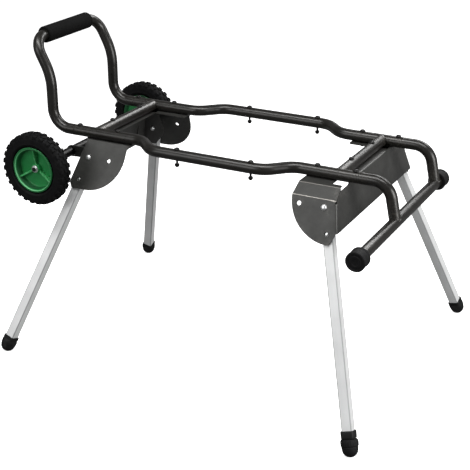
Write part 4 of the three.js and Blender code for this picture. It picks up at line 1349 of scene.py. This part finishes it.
def push_nut():
    """Washer and open nut round the spindle."""
    bm = bmesh.new()
    z = HUB_FACE + 0.8
    bore = SPINDLE_R + 0.35
    washer = [(bore, z), (9.9, z), (9.9, z + 1.3), (bore, z + 1.3)]
    turn(bm, soften(washer, 0.35, closed=True), 48, closed=True)
    hex_nut(bm, 15.4, z + 1.35, z + 5.2, SPINDLE_R + 0.3)
    bmesh.ops.recalc_face_normals(bm, faces=bm.faces)
    return bm


for side, s in SIDES.items():
    wm = Matrix.Translation(P(WHEEL_X, s * WHEEL_Y, WHEEL_Z)) @ Matrix.Rotation(-math.pi / 2 * s, 4, "X")
    rim = finish_mesh(f"{side}_wheel_rim_moulding", wheel_rim(), GREEN, wm, sharp=38)
    stand_for(rim, "rim_plastic", f"{side}_wheel_rim")
    tyre = finish_mesh(f"{side}_wheel_tyre_moulding", wheel_tyre(), TYRE, wm, sharp=40)
    mod = tyre.modifiers.new("lug_round", "BEVEL")
    mod.width = 0.0005
    mod.segments = 1
    mod.limit_method = "ANGLE"
    mod.angle_limit = math.radians(50)
    mod.harden_normals = True
    stand_for(tyre, "tyre", f"{side}_wheel_tyre")
    stand_for(finish_mesh(f"{side}_push_nut_cap", push_nut(), ZINC, wm), "zinc", f"{side}_push_nut")


# ------------------------------------------------------------------ floor, light, camera
def plane(name, size, z, material):
    me = bpy.data.meshes.new(name)
    corners = [(x * size, y * size, z) for x, y in ((-1, -1), (1, -1), (1, 1), (-1, 1))]
    me.from_pydata(corners, [], [(0, 1, 2, 3)])
    me.materials.append(material)
    ob = bpy.data.objects.new(name, me)
    bpy.context.scene.collection.objects.link(ob)
    return ob


# most of the floor's brightness is its own light, kept off the stand and out of its reflections
m = Mat("studio_floor", Specular_IOR_Level=0.1)
m.colour(m.ramp(m.noise(0.8, 2), (0.3, (0.86, 0.86, 0.86, 1)), (0.7, (0.9, 0.9, 0.9, 1))))
m.b.inputs["Roughness"].default_value = 0.9
m.b.inputs["Emission Color"].default_value = (1, 1, 1, 1)
m.b.inputs["Emission Strength"].default_value = 0.8
floor = plane("studio_floor", 40.0, -0.0006, m.m)
floor.visible_diffuse = False
floor.visible_glossy = False

# soft surround: dimmer overhead and below than at the horizon
world = bpy.data.worlds.new("studio")
world.use_nodes = True
wt = world.node_tree
coord = wt.nodes.new("ShaderNodeTexCoord")
split = wt.nodes.new("ShaderNodeSeparateXYZ")
shift = wt.nodes.new("ShaderNodeMapRange")
ramp = wt.nodes.new("ShaderNodeValToRGB")
wt.links.new(coord.outputs["Generated"], split.inputs[0])
wt.links.new(split.outputs["Z"], shift.inputs["Value"])
shift.inputs["From Min"].default_value = -1
wt.links.new(shift.outputs["Result"], ramp.inputs["Fac"])
wt.links.new(ramp.outputs["Color"], wt.nodes["Background"].inputs["Color"])
stops = ramp.color_ramp.elements
stops.new(0.5)
for el, (p, c) in zip(stops, ((0.0, 0.16), (0.5, 0.26), (1.0, 0.14))):
    el.position = p
    el.color = (c, c, c, 1)
wt.nodes["Background"].inputs["Strength"].default_value = 1.0
bpy.context.scene.world = world


def area(name, at, to, size, power, size_y):
    """A soft box at one place, turned towards another."""
    data = bpy.data.lights.new(name, "AREA")
    data.energy = power
    data.shape = "RECTANGLE"
    data.size = size
    data.size_y = size_y
    ob = bpy.data.objects.new(name, data)
    bpy.context.scene.collection.objects.link(ob)
    ob.location = at
    ob.rotation_euler = (Vector(to) - Vector(at)).to_track_quat("-Z", "Y").to_euler()


# name, place, aim, width, power, height
area("front_left_box", (-1.5, -3.5, 1.9), (0, 0, 0.4), 2.2, 44, 1.8)
area("overhead_strip", (0.1, -0.9, 3.0), (0, 0, 0.6), 3.0, 84, 0.7)
area("back_strip", (0.6, 2.4, 2.4), (0, 0, 0.5), 2.6, 55, 0.6)
area("right_box", (3.4, -0.5, 1.2), (0.2, 0, 0.4), 1.8, 95, 1.8)

# camera at the photo's angle, in metres
cam_data = bpy.data.cameras.new("camera")
cam_data.sensor_width = 36
cam_data.lens = 87.970213
cam = bpy.data.objects.new("camera", cam_data)
bpy.context.scene.collection.objects.link(cam)
cam.location = (1.3705, -2.6520, 1.5924)
cam.rotation_mode = "QUATERNION"
cam.rotation_quaternion = Vector((-0.42116, 0.81707, -0.39373)).to_track_quat("-Z", "Y")
bpy.context.scene.camera = cam
bpy.context.scene.view_settings.view_transform = "Standard"
